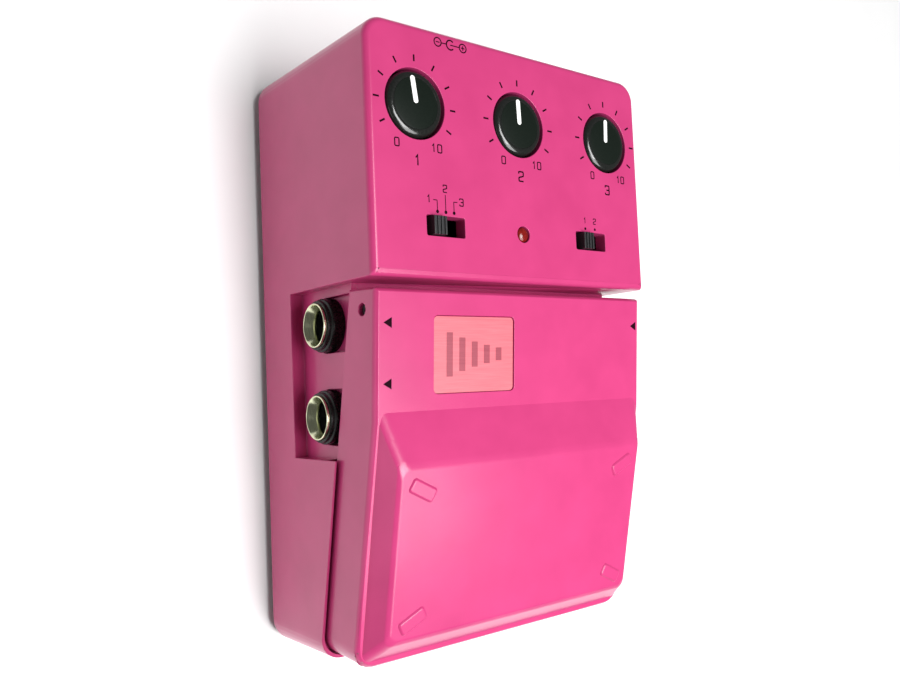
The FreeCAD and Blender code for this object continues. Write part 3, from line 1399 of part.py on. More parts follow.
def build_main_board():
    board = Piece("main_board")
    middle = (main_board_rear - main_board_front) / 2
    board.pad("top", zero, the.board_wall,
              slab_outline(zero, middle, (half_width - the.main_board_side) * 2,
                           main_board_rear + main_board_front))
    board.pocket("top", zero, the.board_wall + overcut,
                 round_outline(*rear_main_posts, *front_main_posts,
                               radius=the.board_screw_radius + the.board_hole_spare))
    board.place(zero, zero, main_board_low)

    chip = Piece("main_board_chip")
    chip.pad("top", zero, the.chip_height, slab_outline(zero, zero, the.chip_width, the.chip_length))
    chip_z = main_board_low - the.chip_height
    group("main_board_chips", chip, [(column * the.chip_pitch, block_front - the.chip_back, chip_z)
                                     for column in (-1, 0, 1)])

    can = Piece("capacitor")
    can.pad("top", zero, the.capacitor_height, round_outline((zero, zero), radius=the.capacitor_radius))
    can_z = main_board_low - the.capacitor_height
    group("capacitors", can, [(column * the.chip_pitch, block_front - the.capacitor_back, can_z)
                              for column in (-1, 0, 1)])


def build_foot_switch():
    body = Piece("foot_switch_body")
    hole = the.plunger_radius + the.running_gap
    body.pad("top", zero, the.foot_switch_height,
             slab_outline(zero, zero, the.foot_switch_width, the.foot_switch_width))
    body.pocket("top", the.foot_switch_floor, the.foot_switch_height,
                round_outline((zero, zero), radius=hole))
    body.place(zero, -spring_y, main_board_z)

    plunger = Piece("foot_switch_plunger")
    low = main_board_z + the.foot_switch_floor + the.plunger_room
    plunger_length = plunger_top_z - low
    plunger.pad("top", zero, plunger_length, round_outline((zero, zero), radius=the.plunger_radius))
    plunger.place(zero, -spring_y, low)


def build_board_screws():
    screw = Piece("board_screw")
    shank, head = the.board_screw_radius, the.board_screw_head_radius
    screw.spin([(zero, -the.board_screw_head), (head, -the.board_screw_head), (head, zero), (shank, zero),
                (shank, the.board_screw_length), (zero, the.board_screw_length)])
    places = [(x, y, control_board_low) for x, y in control_posts]
    places += [(x, y, main_board_low) for x, y in rear_main_posts + front_main_posts]
    group("board_screws", screw, places)


# The base: plate, screws, feet, battery bay

tray_width = the.battery_end_gap + the.battery_length + the.snap_wall + the.snap_room
tray_length = the.battery_width + the.battery_side_gap * 2
tray_height = the.battery_lift + the.battery_height + the.battery_top_gap
tray_left = -(the.battery_x + tray_width / 2)
door_half_x = tray_width / 2 - the.door_inset
door_half_y = tray_length / 2 - the.door_inset
door_hinge_y = battery_y - door_half_y + the.plate_wall / 2
battery_left = tray_left + the.battery_end_gap
battery_right = battery_left + the.battery_length
battery_z = the.plate_wall + the.battery_lift + the.battery_height / 2
snap_top = battery_z + the.snap_height / 2
lead_x = battery_right + the.snap_wall / 2
lead_z = snap_top + the.lead_rise


def build_base_plate():
    plate = Piece("base_plate")
    inset = (the.rim_band + the.plate_gap) * 2
    plate.pad("top", zero, the.plate_wall,
              slab_outline(zero, zero, the.base_width - inset, the.base_length - inset,
                           the.corner_radius - the.rim_band - the.plate_gap))

    def holes(sketch):
        for x, y in base_screw_places:
            circle(sketch, x, y, the.screw_radius + the.screw_hole_gap)
        slab_outline(-the.battery_x, battery_y, (door_half_x + the.door_gap) * 2,
                     (door_half_y + the.door_gap) * 2)(sketch)
    plate.pocket("top", -overcut, the.plate_wall + overcut * 2, holes)
    plate.place()

    screw = Piece("base_screw")
    shank, head = the.screw_radius, the.screw_head_radius
    screw.spin([(zero, -the.screw_head), (head - the.screw_head / 2, -the.screw_head), (head, zero),
                (shank, zero), (shank, the.screw_length), (zero, the.screw_length)])
    group("base_screws", screw, [(x, y, zero) for x, y in base_screw_places])

    foot = Piece("rubber_foot")
    foot.pad("top", zero, the.foot_stand, round_outline((zero, zero), radius=the.foot_radius))
    foot_rows = (half_length - the.foot_rear, the.foot_nose - half_length)
    group("rubber_feet", foot, [(side * (half_width - the.foot_side), y, -the.foot_stand)
                                for side in (-1, 1) for y in foot_rows])


def build_battery_tray():
    tray = Piece("battery_tray")
    wall = the.tray_wall
    tray.pad("top", zero, tray_height + wall,
             slab_outline(zero, zero, tray_width + wall * 2, tray_length + wall * 2))
    tray.pocket("top", -overcut, tray_height + overcut,
                slab_outline(zero, zero, tray_width, tray_length))
    slot_height = (the.lead_radius + the.lead_gap) * 2
    slot = slab_outline(lead_x + the.battery_x, lead_z - the.plate_wall,
                        slot_height + the.lead_pitch, slot_height)
    tray.pocket("front", tray_length / 2 - overcut, wall + overcut * 2, slot)
    tray.place(-the.battery_x, battery_y, the.plate_wall)


def build_battery_door():
    """The door over the battery, hung on its rounded front edge."""
    door = Piece("battery_door")
    half = the.plate_wall / 2
    far = door_half_y * 2 - half

    def profile(sketch):
        bow = free_arc(sketch, zero, zero, half, 90, 270)
        pin_along(sketch, "DistanceX", bow, CENTRE, zero)
        path = [(zero, -half), (far, -half), (far, half), (zero, half)]
        lines = []
        for start, end in zip(path, path[1:]):
            lines.append(line(sketch, start, end))
            pin_point(sketch, lines[-1], START, *start)
            pin_point(sketch, lines[-1], END, *end)
        join(sketch, bow, END, lines[0], START)
        join(sketch, lines[-1], END, bow, START)
    door.pad("side", zero, door_half_x * 2, profile, both=True)
    grip_y = far - the.door_grip_inset
    door.pocket("top", -half - overcut, the.door_grip_depth + overcut,
                slab_outline(zero, grip_y, the.door_grip_width, the.door_grip_length, the.badge_corner))
    door.place(-the.battery_x, door_hinge_y, half)


def build_battery():
    battery = Piece("battery")
    middle = (battery_left + battery_right) / 2
    battery.pad("side", zero, the.battery_length,
                slab_outline(zero, zero, the.battery_width, the.battery_height, the.battery_corner),
                both=True)
    pitch = the.terminal_pitch / 2
    battery.pad("side", the.battery_length / 2 - overcut / 4, the.terminal_rise + overcut / 4,
                round_outline((-pitch, zero), (pitch, zero), radius=the.terminal_radius))
    battery.place(middle, battery_y, battery_z)

    snap = Piece("battery_snap")
    snap.pad("side", zero, the.snap_wall,
             slab_outline(zero, zero, the.snap_width, the.snap_height))
    snap.pocket("side", -overcut, the.terminal_rise + overcut,
                round_outline((-pitch, zero), (pitch, zero), radius=the.terminal_radius + the.seat_gap))
    snap.place(battery_right, battery_y, battery_z)


def rounded_path(points):
    """Straight runs joined by tangent arcs, each as large as its runs allow."""
    edges, radii, last = [], [], points[0]
    for before, corner, after in zip(points, points[1:], points[2:]):
        into, out = (corner - before), (after - corner)
        first = END_BEND_SHARE if before == points[0] else BEND_SHARE
        second = END_BEND_SHARE if after == points[-1] else BEND_SHARE
        share = min(first * into.Length, second * out.Length)
        turn = into.getAngle(out)
        into.normalize()
        out.normalize()
        start, end = corner - into * share, corner + out * share
        radius = share / math.tan(turn / 2)
        centre_line = (out - into).normalize()
        centre = corner + centre_line * (radius / math.cos(turn / 2))
        middle = centre - centre_line * radius
        edges.append(Part.LineSegment(last, start).toShape())
        edges.append(Part.Arc(start, middle, end).toShape())
        radii.append(round(radius, 2))
        last = end
    edges.append(Part.LineSegment(last, points[-1]).toShape())
    return Part.Wire(edges), radii


def add_swept(label, solids):
    """A node of swept solids, lifted with the rest."""
    item = doc.addObject("Part::Feature", label)
    item.Label = label
    item.Shape = Part.makeCompound(solids) if len(solids) > 1 else solids[0]
    item.Placement = FreeCAD.Placement(Vector(0, 0, the.foot_stand.value), FreeCAD.Rotation())
    nodes.append(item)


def build_battery_leads():
    """Two leads, up from the snap, out of the tray's slot and down on the main board."""
    start_y = (battery_y - the.lead_shift).value
    end_y = (main_board_rear - the.lead_end_inset).value
    tubes = []
    for side in (-1, 1):
        x = (lead_x + side * the.lead_pitch / 2).value
        points = [Vector(x, start_y, snap_top.value), Vector(x, start_y, lead_z.value),
                  Vector(x, end_y, lead_z.value), Vector(x, end_y, main_board_z.value)]
        path, radii = rounded_path(points)
        ring = ring_of_sides(points[0], Vector(1, 0, 0), Vector(0, 1, 0), the.lead_radius.value)
        tube = path.makePipeShell([ring], True, False)
        print("battery lead: length", round(path.Length, 1), "bend radii", radii)
        tubes.append(tube)
    add_swept("battery_leads", tubes)


def build_ribbon_cable():
    """The flat cable from the control board down to the main board."""
    upper = (block_front + the.ribbon_upper_step).value
    lower = (main_board_rear - the.ribbon_inset).value
    points = [Vector(0, lower, main_board_z.value), Vector(0, lower, the.ribbon_lower_z.value),
              Vector(0, upper, the.ribbon_upper_z.value), Vector(0, upper, control_board_low.value)]
    path, radii = rounded_path(points)
    half_x, half_y = the.ribbon_width.value / 2, the.ribbon_wall.value / 2
    corners = [points[0] + Vector(x, y, 0) for x, y in
               ((-half_x, -half_y), (half_x, -half_y), (half_x, half_y), (-half_x, half_y))]
    band = path.makePipeShell([Part.makePolygon(corners + corners[:1])], True, False)
    print("ribbon cable: length", round(path.Length, 1), "bend radii", radii)
    add_swept("ribbon_cable", [band])


# The whole pedal

build_housing()
build_treadle()
build_badge_plate()
build_hinge_pins()
build_treadle_spring()
build_stop_screw()
build_treadle_bumpers()
for knob_name in knob_places:
    build_knob(knob_name)
    build_knob_pointer(knob_name)
    build_control(knob_name)
build_slide_switch("range", -window_x, -the.range_travel / 2)
build_slide_switch("mode", window_x, -the.mode_travel / 2)
build_lamp()
build_control_board()
for jack in JACKS:
    build_jack(*jack)
build_dc_jack()
build_main_board()
build_foot_switch()
build_board_screws()
build_base_plate()
build_battery_tray()
build_battery_door()
build_battery()
build_battery_leads()
build_ribbon_cable()
doc.recompute()

faults = [item.Name for item in doc.Objects if {"Invalid", "Error"} & set(item.State)]
for node in nodes:
    if node.Shape.isNull() or not node.Shape.isValid() or not node.Shape.Solids:
        faults.append(node.Label)
if faults:
    raise SystemExit(f"not built: {faults}")

os.makedirs("parts", exist_ok=True)
for node in nodes:
    node.Shape.exportStep(f"parts/{node.Label}.step")
print(len(nodes), "nodes,", sum(len(node.Shape.Solids) for node in nodes), "solids")
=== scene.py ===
# %% [markdown]
# This lesson dresses a delay pedal. The solid model of the pedal is loaded first and
# stays as it is: it says where every piece sits and how it moves. Each step then adds
# one finish or one more carefully shaped piece on top of it.

# %% Load the pedal
import json
import math

import bpy
from mathutils import Matrix, Vector


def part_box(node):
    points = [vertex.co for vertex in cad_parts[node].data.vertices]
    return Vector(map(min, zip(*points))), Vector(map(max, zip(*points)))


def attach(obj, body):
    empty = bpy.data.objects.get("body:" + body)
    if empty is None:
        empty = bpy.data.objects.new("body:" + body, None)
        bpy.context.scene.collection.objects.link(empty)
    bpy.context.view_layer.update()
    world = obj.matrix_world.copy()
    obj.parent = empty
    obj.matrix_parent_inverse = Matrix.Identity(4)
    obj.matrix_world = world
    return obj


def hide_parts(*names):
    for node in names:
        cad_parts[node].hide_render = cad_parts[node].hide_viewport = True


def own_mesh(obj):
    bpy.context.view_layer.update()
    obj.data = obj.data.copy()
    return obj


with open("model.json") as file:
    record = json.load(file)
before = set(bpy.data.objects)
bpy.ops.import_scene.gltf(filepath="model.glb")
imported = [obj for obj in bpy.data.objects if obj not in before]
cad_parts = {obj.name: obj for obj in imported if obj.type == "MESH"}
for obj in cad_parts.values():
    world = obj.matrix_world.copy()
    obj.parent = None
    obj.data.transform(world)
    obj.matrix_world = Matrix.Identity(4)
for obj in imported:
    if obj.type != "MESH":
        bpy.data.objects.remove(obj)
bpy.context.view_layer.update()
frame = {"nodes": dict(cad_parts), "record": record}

MM = 0.001
print("pieces:", len(frame["nodes"]))

# %% [markdown]
# An operator works on whatever is selected, and loading leaves everything selected.
# A few small helpers keep that in hand: they clear the selection, take one piece or
# several, and pick faces, edges or points of a piece by a test on where they are.

# %% Selecting by code
def let_go():
    if bpy.context.object and bpy.context.object.mode != "OBJECT":
        bpy.ops.object.mode_set(mode="OBJECT")
    bpy.ops.object.select_all(action="DESELECT")


def take(*pieces):
    let_go()
    for piece in pieces:
        piece.select_set(True)
    bpy.context.view_layer.objects.active = pieces[0]


def edit(piece, kind="VERT"):
    take(piece)
    bpy.ops.object.mode_set(mode="EDIT")
    bpy.ops.mesh.select_mode(type=kind)
    bpy.ops.mesh.select_all(action="SELECT")


def pick(piece, kind, test):
    """Selects what passes a test among the polygons, edges or vertices of an edited piece."""
    bpy.ops.mesh.select_all(action="DESELECT")
    bpy.ops.object.mode_set(mode="OBJECT")
    for item in getattr(piece.data, kind):
        item.select = bool(test(item))
    bpy.ops.object.mode_set(mode="EDIT")


def settle(piece):
    """Puts a piece's place, turn and size into its mesh."""
    take(piece)
    bpy.ops.object.transform_apply(location=True, rotation=True, scale=True)


def put(piece, x, y, z, turn=(0, 0, 0)):
    """Moves a piece to its place in mm and turns it, angles in degrees."""
    piece.location = (x * MM, y * MM, z * MM)
    piece.rotation_euler = [math.radians(angle) for angle in turn]
    settle(piece)
    return piece


def joined(pieces, name):
    """Several finished meshes as one piece."""
    take(*pieces)
    bpy.ops.object.join()
    pieces[0].name = name
    return pieces[0]


# %% [markdown]
# New meshes are drawn from points in mm. A flat mark or bar is one face, given by its
# outline, that the extrude operator then makes thick.

# %% Drawing by code
def drawn(name, points, edges=(), faces=()):
    """A new piece from points in mm and the numbers of those that make edges or faces."""
    mesh = bpy.data.meshes.new(name)
    mesh.from_pydata([(x * MM, y * MM, z * MM) for x, y, z in points], edges, faces)
    piece = bpy.data.objects.new(name, mesh)
    bpy.context.scene.collection.objects.link(piece)
    return piece


def slab(name, outline, thickness):
    """A flat piece from an outline of (x, y), its underside at height zero."""
    piece = drawn(name, [(x, y, 0) for x, y in outline], faces=[tuple(range(len(outline)))])
    edit(piece, "FACE")
    bpy.ops.mesh.extrude_region_move(TRANSFORM_OT_translate={"value": (0, 0, thickness * MM)})
    bpy.ops.mesh.select_all(action="SELECT")
    bpy.ops.mesh.normals_make_consistent(inside=False)
    let_go()
    return piece


# %% [markdown]
# The look of a finish comes from nodes. Most finishes here share one pattern: a noise
# read from the piece's own coordinates moves the colour between two near shades, moves
# the roughness a little, and gives a faint bump. Only the numbers differ, so one helper
# makes the shared part and each finish gives its own numbers.

# %% A helper for finishes
NOISE_LOW, NOISE_HIGH = 0.3, 0.7


def fresh_material(name):
    material = bpy.data.materials.new(name)
    material.use_nodes = True
    tree = material.node_tree
    return material, tree, tree.nodes["Principled BSDF"]


def object_noise(tree, scale, detail=3.0, stretch=(1, 1, 1)):
    """A noise in the piece's own coordinates, with the scale in features per metre."""
    coordinates = tree.nodes.new("ShaderNodeTexCoord")
    mapping = tree.nodes.new("ShaderNodeMapping")
    mapping.inputs["Scale"].default_value = stretch
    noise = tree.nodes.new("ShaderNodeTexNoise")
    noise.inputs["Scale"].default_value = scale
    noise.inputs["Detail"].default_value = detail
    tree.links.new(coordinates.outputs["Object"], mapping.inputs["Vector"])
    tree.links.new(mapping.outputs["Vector"], noise.inputs["Vector"])
    return noise


def shade_between(tree, shader, value, dark, light, low=0.35, high=0.65):
    """Moves the colour from dark to light while a value goes from low to high."""
    ramp = tree.nodes.new("ShaderNodeValToRGB")
    ramp.color_ramp.elements[0].position = low
    ramp.color_ramp.elements[0].color = (*dark, 1)
    ramp.color_ramp.elements[1].position = high
    ramp.color_ramp.elements[1].color = (*light, 1)
    tree.links.new(value, ramp.inputs["Fac"])
    tree.links.new(ramp.outputs["Color"], shader.inputs["Base Color"])


def vary_roughness(tree, shader, value, low, high):
    """Moves the roughness from low to high over the usual reach of a noise."""
    spread = tree.nodes.new("ShaderNodeMapRange")
    spread.inputs["From Min"].default_value = NOISE_LOW
    spread.inputs["From Max"].default_value = NOISE_HIGH
    spread.inputs["To Min"].default_value = low
    spread.inputs["To Max"].default_value = high
    tree.links.new(value, spread.inputs["Value"])
    tree.links.new(spread.outputs["Result"], shader.inputs["Roughness"])


def add_bump(tree, shader, value, strength, height_mm):
    bump = tree.nodes.new("ShaderNodeBump")
    bump.inputs["Strength"].default_value = strength
    bump.inputs["Distance"].default_value = height_mm * MM
    tree.links.new(value, bump.inputs["Height"])
    tree.links.new(bump.outputs["Normal"], shader.inputs["Normal"])


def finish(name, dark, light, roughness, grain, bump=(0.15, 0.02), metal=0.0, coat=None,
           stretch=(1, 1, 1), shine=0.5):
    """The shared pattern: two near shades, a range of roughness, a grain in features per mm."""
    material, tree, shader = fresh_material(name)
    noise = object_noise(tree, grain / MM, stretch=stretch).outputs["Fac"]
    shade_between(tree, shader, noise, dark, light)
    vary_roughness(tree, shader, noise, *roughness)
    add_bump(tree, shader, noise, *bump)
    shader.inputs["Metallic"].default_value = metal
    shader.inputs["Specular IOR Level"].default_value = shine
    if coat:
        shader.inputs["Coat Weight"].default_value = coat[0]
        shader.inputs["Coat Roughness"].default_value = coat[1]
    return material


# %% [markdown]
# The castings wear a hot pink gloss paint. A slow noise moves its colour between two
# near shades, as thickness does in a sprayed coat, and a finer one gives the faint
# orange-peel ripple of its surface. Anything finer than a pixel would only sparkle, and
# the gloss itself is even, because a noise in it leaves dark specks in the render.

# %% Pink paint
SPRAY_GRAIN, RIPPLE_GRAIN = 0.12 / MM, 0.7 / MM


def pink_paint():
    material, tree, shader = fresh_material("hot_pink_paint")
    coat = object_noise(tree, SPRAY_GRAIN, detail=2.0).outputs["Fac"]
    shade_between(tree, shader, coat, (0.44, 0.035, 0.141), (0.48, 0.041, 0.157),
                  NOISE_LOW, NOISE_HIGH)
    ripple = object_noise(tree, RIPPLE_GRAIN, detail=1.0).outputs["Fac"]
    add_bump(tree, shader, ripple, 0.06, 0.02)
    shader.inputs["Roughness"].default_value = 0.3
    shader.inputs["Specular IOR Level"].default_value = 0.3
    shader.inputs["Coat Weight"].default_value = 0.15
    shader.inputs["Coat Roughness"].default_value = 0.16
    return material


paint = pink_paint()
print("made", paint.name)

# %% [markdown]
# The printing is a dark wine-coloured ink. The black parts are moulded plastic of
# several kinds: satin on the knob's face, glossy on its shoulder, between the two on the
# jack collars and plain elsewhere. The feet are matt rubber.

# %% Ink, plastics and rubber
ink = finish("print_ink", (0.008, 0.001, 0.003), (0.014, 0.001, 0.006), (0.6, 0.7), 6.0,
             shine=0.04)
knob_gloss = finish("knob_gloss", (0.006, 0.007, 0.006), (0.010, 0.011, 0.010), (0.16, 0.24),
                    3.0, (0.06, 0.01), coat=(0.4, 0.08))
knob_satin = finish("knob_satin", (0.004, 0.007, 0.005), (0.007, 0.011, 0.008), (0.34, 0.42),
                    8.0, (0.2, 0.01), shine=0.12)
collar_black = finish("collar_black", (0.004, 0.004, 0.004), (0.008, 0.008, 0.007),
                      (0.24, 0.34), 2.5, (0.1, 0.02), shine=0.22)
plastic = finish("moulded_black", (0.010, 0.010, 0.011), (0.020, 0.020, 0.022), (0.35, 0.5), 5.0)
white_line = finish("white_inlay", (0.80, 0.80, 0.78), (0.90, 0.90, 0.88), (0.35, 0.45), 4.0)
rubber = finish("black_rubber", (0.015, 0.015, 0.015), (0.035, 0.035, 0.034), (0.7, 0.85),
                2.5, (0.4, 0.05))
case_black = finish("component_black", (0.012, 0.012, 0.014), (0.03, 0.03, 0.034),
                    (0.5, 0.65), 3.0)
jacket = finish("wire_jacket", (0.02, 0.02, 0.022), (0.045, 0.045, 0.05), (0.45, 0.6), 2.0)
print("made the dark finishes")

# %% [markdown]
# Bright metal needs a slightly uneven roughness, or it looks like a mirror. The turned
# jack sleeves are nickel with fine lathe lines, which come from stretching the noise
# along one direction. The screws are plain plated steel, the hinge pins are darker, and
# the base is black painted sheet.

# %% Metals
LATHE_LINES = (9, 1, 1)
nickel = finish("bright_nickel", (0.58, 0.60, 0.40), (0.70, 0.73, 0.51), (0.16, 0.26), 1.5,
                (0.03, 0.005), metal=1.0, stretch=LATHE_LINES)
dark_steel = finish("dark_steel", (0.05, 0.05, 0.055), (0.10, 0.10, 0.105), (0.3, 0.42), 2.0,
                    metal=1.0)
steel = finish("plated_steel", (0.42, 0.42, 0.43), (0.60, 0.60, 0.61), (0.25, 0.4), 2.0, metal=1.0)
brass = finish("contact_brass", (0.60, 0.42, 0.18), (0.75, 0.56, 0.28), (0.2, 0.35), 2.0,
               metal=1.0)
base_paint = finish("base_black_paint", (0.012, 0.012, 0.013), (0.028, 0.028, 0.030),
                    (0.4, 0.55), 1.6, (0.3, 0.05))
print("made the metals")

# %% [markdown]
# Under the cover are green circuit boards and a battery with a grey jacket, and in the
# panel is a red lamp. The badge on the treadle is a thin plate with fine brushed lines
# across it, again made by stretching the noise.

# %% Boards, battery, lamp and badge
BRUSHED = (0.6, 40.0, 1.0)
board_green = finish("solder_mask", (0.01, 0.09, 0.03), (0.02, 0.16, 0.06), (0.25, 0.35), 1.2,
                     (0.1, 0.03), coat=(0.4, 0.1))
battery_print = finish("battery_jacket", (0.10, 0.105, 0.12), (0.16, 0.165, 0.18), (0.3, 0.4), 1.0)
lens_red = finish("lamp_red", (0.12, 0.004, 0.003), (0.20, 0.008, 0.006), (0.12, 0.2), 1.5,
                  (0.05, 0.01))
badge_face = finish("badge_brushed", (0.52, 0.105, 0.135), (0.61, 0.140, 0.170), (0.32, 0.45),
                    0.25, (0.3, 0.02), stretch=BRUSHED)
badge_ink = finish("badge_ink", (0.24, 0.030, 0.053), (0.30, 0.044, 0.070), (0.4, 0.5), 0.25,
                   (0.2, 0.02), stretch=BRUSHED)
print("made the coloured finishes")

# %% [markdown]
# Every piece of the solid model now gets its finish. The record names one material slot
# for each piece, so a table from slot to finish is enough, and no piece can be forgotten.

# %% Finishes by slot
SLOT_FINISH = {
    "pink_paint": paint, "badge": badge_face, "black_plastic": plastic,
    "white_plastic": white_line, "shaft_steel": steel, "control_case": case_black,
    "plated": nickel, "contact_brass": brass, "red_lens": lens_red,
    "circuit_board": board_green, "rubber": rubber, "base_steel": base_paint,
    "battery_case": battery_print, "cable_jacket": jacket}
slot_of = {item["node"]: item["material_slot"] for item in frame["record"]["subparts"]}
for name, node in frame["nodes"].items():
    node.data.materials.clear()
    node.data.materials.append(SLOT_FINISH[slot_of[name]])
print("finished", len(slot_of), "pieces")


# %% [markdown]
# Some pieces are now made again with more care. Each of them ends in the same way: it
# gets its finish, rides on a body of the solid model and hides the solids it stands
# for. Those stay behind for the physics and aren't rendered.

# %% Handing a finished piece over
def dress(piece, body, material, nodes=()):
    """Gives a finished piece its material and its body, and hides the solids it stands for."""
    piece.data.materials.clear()
    piece.data.materials.append(material)
    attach(piece, body)
    if nodes:
        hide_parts(*nodes)


# %% [markdown]
# The solid model's own mesh is loose triangles. A copy has its points merged and its
# flat faces joined, so that every edge left is a real one. After any rounding it is
# shaded smooth, with its normals weighed by the size of the faces, which keeps the big
# faces flat right up to their rounded edges.

# %% Copies and smooth shading
SAME_POINT = 0.001 * MM
FLAT_WITHIN, SMOOTH_UNDER, TURNED_SMOOTH_UNDER = (math.radians(angle) for angle in (1, 40, 35))


def merged_copy(node, name):
    """A piece of the solid model as one clean mesh under a new name."""
    piece = bpy.data.objects.new(name, frame["nodes"][node].data.copy())
    bpy.context.scene.collection.objects.link(piece)
    edit(piece)
    bpy.ops.mesh.remove_doubles(threshold=SAME_POINT)
    bpy.ops.mesh.dissolve_limited(angle_limit=FLAT_WITHIN)
    let_go()
    return piece


def smooth_shading(piece):
    """Smooth, with the big faces kept flat right up to their rounded edges."""
    take(piece)
    bpy.ops.object.shade_smooth_by_angle(angle=SMOOTH_UNDER)
    weigh = piece.modifiers.new("weigh", "WEIGHTED_NORMAL")
    weigh.weight = 100
    weigh.keep_sharp = True
    bpy.ops.object.modifier_apply(modifier="weigh")


def round_edges(piece, radius_mm, segments, sharper_than):
    """Rounds every edge where two faces meet at more than an angle, in degrees."""
    take(piece)
    bevel = piece.modifiers.new("round", "BEVEL")
    bevel.width = radius_mm * MM
    bevel.segments = segments
    bevel.limit_method = "ANGLE"
    bevel.angle_limit = math.radians(sharper_than)
    bpy.ops.object.modifier_apply(modifier="round")
    smooth_shading(piece)


# %% [markdown]
# The housing and the treadle are large die castings, and a casting has no knife edges.
# Their outer rims are clearly rounded, the foot pad's ridges a little less, and edges
# that lie close together need a small radius, or their roundings would cross. One Bevel
# modifier does it all when it follows edge weights: every edge is given its own share
# of the widest rounding, picked by where it lies. A chain of edges that run on in one
# line needs one share along it, or the rounding would spike where the share changes. A
# crease that isn't rounded is marked sharp, so the shading doesn't run over it.

# %% Weighing edges
WIDEST, STEPS = 1.0, 3
FACET, CREASE = 10, 15


def sharp_edges(piece, degrees):
    """The numbers of all edges where two faces meet at more than an angle."""
    edit(piece, "EDGE")
    bpy.ops.mesh.select_all(action="DESELECT")
    bpy.ops.mesh.edges_select_sharp(sharpness=math.radians(degrees))
    bpy.ops.object.mode_set(mode="OBJECT")
    return {edge.index for edge in piece.data.edges if edge.select}


def weigh_edges(piece, share_of):
    """Gives every sharp edge its share of the widest rounding, by where its middle is."""
    shares = {}
    points = piece.data.vertices
    creases, sharp = sharp_edges(piece, CREASE), sharp_edges(piece, FACET)
    for edge in piece.data.edges:
        first, last = (points[corner].co / MM for corner in edge.vertices)
        shares[edge.index] = share_of((first + last) / 2, last - first, edge.index in sharp)
    bpy.ops.object.mode_set(mode="EDIT")
    pick(piece, "edges", lambda edge: edge.index in creases and shares[edge.index] == 0)
    bpy.ops.mesh.mark_sharp()
    bpy.ops.object.mode_set(mode="OBJECT")
    for share in sorted(set(shares.values()) - {0}):
        bpy.ops.object.mode_set(mode="EDIT")
        pick(piece, "edges", lambda edge: shares[edge.index] == share)
        bpy.ops.transform.edge_bevelweight(value=share)
        bpy.ops.object.mode_set(mode="OBJECT")
    let_go()
    print(piece.name, "shares:", sorted(set(shares.values())))


def round_by_weight(piece):
    """Rounds every edge by its share of the widest rounding."""
    take(piece)
    bevel = piece.modifiers.new("round", "BEVEL")
    bevel.width = WIDEST * MM
    bevel.segments = STEPS
    bevel.limit_method = "WEIGHT"
    bevel.use_clamp_overlap = False
    bevel.loop_slide = False
    bpy.ops.object.modifier_apply(modifier="round")
    smooth_shading(piece)


# %% [markdown]
# The treadle has a rear flat and a steeper front slope that meet in a bend, and the foot
# pad stands on the front one. A few named measures say which edges are where. The raised
# marks in the pad's corners come off this copy and are made again later, because a clean
# pad top can be rounded without pinching.

# %% The treadle's slopes
FLAT_SLOPE, FLAT_REAR_Y, FLAT_REAR_Z = 4.4, 10.30, 46.2
SLOPE, BEND_Y, PAD_ABOVE = 11.85, -14.5, 4.39
MARK_X, MARK_PLACES = 27.2, ((-27.27, 1), (-52.07, -1))
MARK_REACH_X, MARK_REACH_Y, MARK_LOW = 3.7, 2.95, -0.05


def rise(run, degrees):
    """How much a slope rises over a run."""
    return run * math.tan(math.radians(degrees))


def treadle_top(y):
    """Height of the treadle's top at a place along it, without the pad."""
    if y > BEND_Y:
        return FLAT_REAR_Z - rise(FLAT_REAR_Y - y, FLAT_SLOPE)
    return treadle_top(BEND_Y + 0.001) - rise(BEND_Y - y, SLOPE)


def pad_top(y):
    """Height of the foot pad's top at a place along it."""
    return treadle_top(y) + PAD_ABOVE


def on_mark(point):
    """Whether a point of the casting belongs to a raised mark."""
    beside = abs(abs(point.x) - MARK_X) < MARK_REACH_X
    ahead = min(abs(point.y - y) for y, _ in MARK_PLACES) < MARK_REACH_Y
    return beside and ahead and point.z > pad_top(point.y) + MARK_LOW


def clear_marks(casting):
    """Takes the raised marks off the pad and closes its top with one clean face."""
    edit(casting)
    pick(casting, "vertices", lambda point: on_mark(point.co / MM))
    bpy.ops.mesh.delete(type="VERT")
    bpy.ops.mesh.select_all(action="DESELECT")
    bpy.ops.mesh.select_non_manifold()
    bpy.ops.mesh.edge_face_add()
    let_go()


# %% [markdown]
# The share of an edge is decided by where its middle is, by the way it runs and by
# whether it is sharp at all. The measures below bound the parts of both castings, in mm:
# the inside of the housing, its rims, the treadle's outer edge with its round front
# corners and its chamfer, and the shallow recess of the badge. The shares follow them.

# %% Rounding the castings
INSIDE_X, INSIDE_Y, INSIDE_TOP = 31, 56, 42
BLOCK_SIDE_X, BLOCK_REAR_Y, BLOCK_FRONT_Y = 34.2, 58.5, 15.5
BLOCK_FRONT_LOW, BLOCK_RIM_LOW = 44.5, 41.5
CORNER_X, CORNER_Y, CORNER_REACH = 31.7, -56.6, 3.8
TREADLE_SIDE_X, TREADLE_NOSE_Y, TREADLE_REAR_Y, UPRIGHT = 35.2, -60.2, 8, 4
BADGE_LEFT, BADGE_RIGHT, BADGE_NEAR, BADGE_FAR = -23, -2, -10.5, 6.5
ABOVE_RIDGE, ABOVE_CHAMFER, UNDER_CHAMFER = 3.8, -0.5, -0.8
FINE, BLOCK_RIM, REAR_CORNER, PAD_RIDGE, BADGE_EDGE = 0.14, 0.4, 0.8, 0.3, 0.12
CHAMFER_TOP, CHAMFER_FOOT = 0.1, 0.5


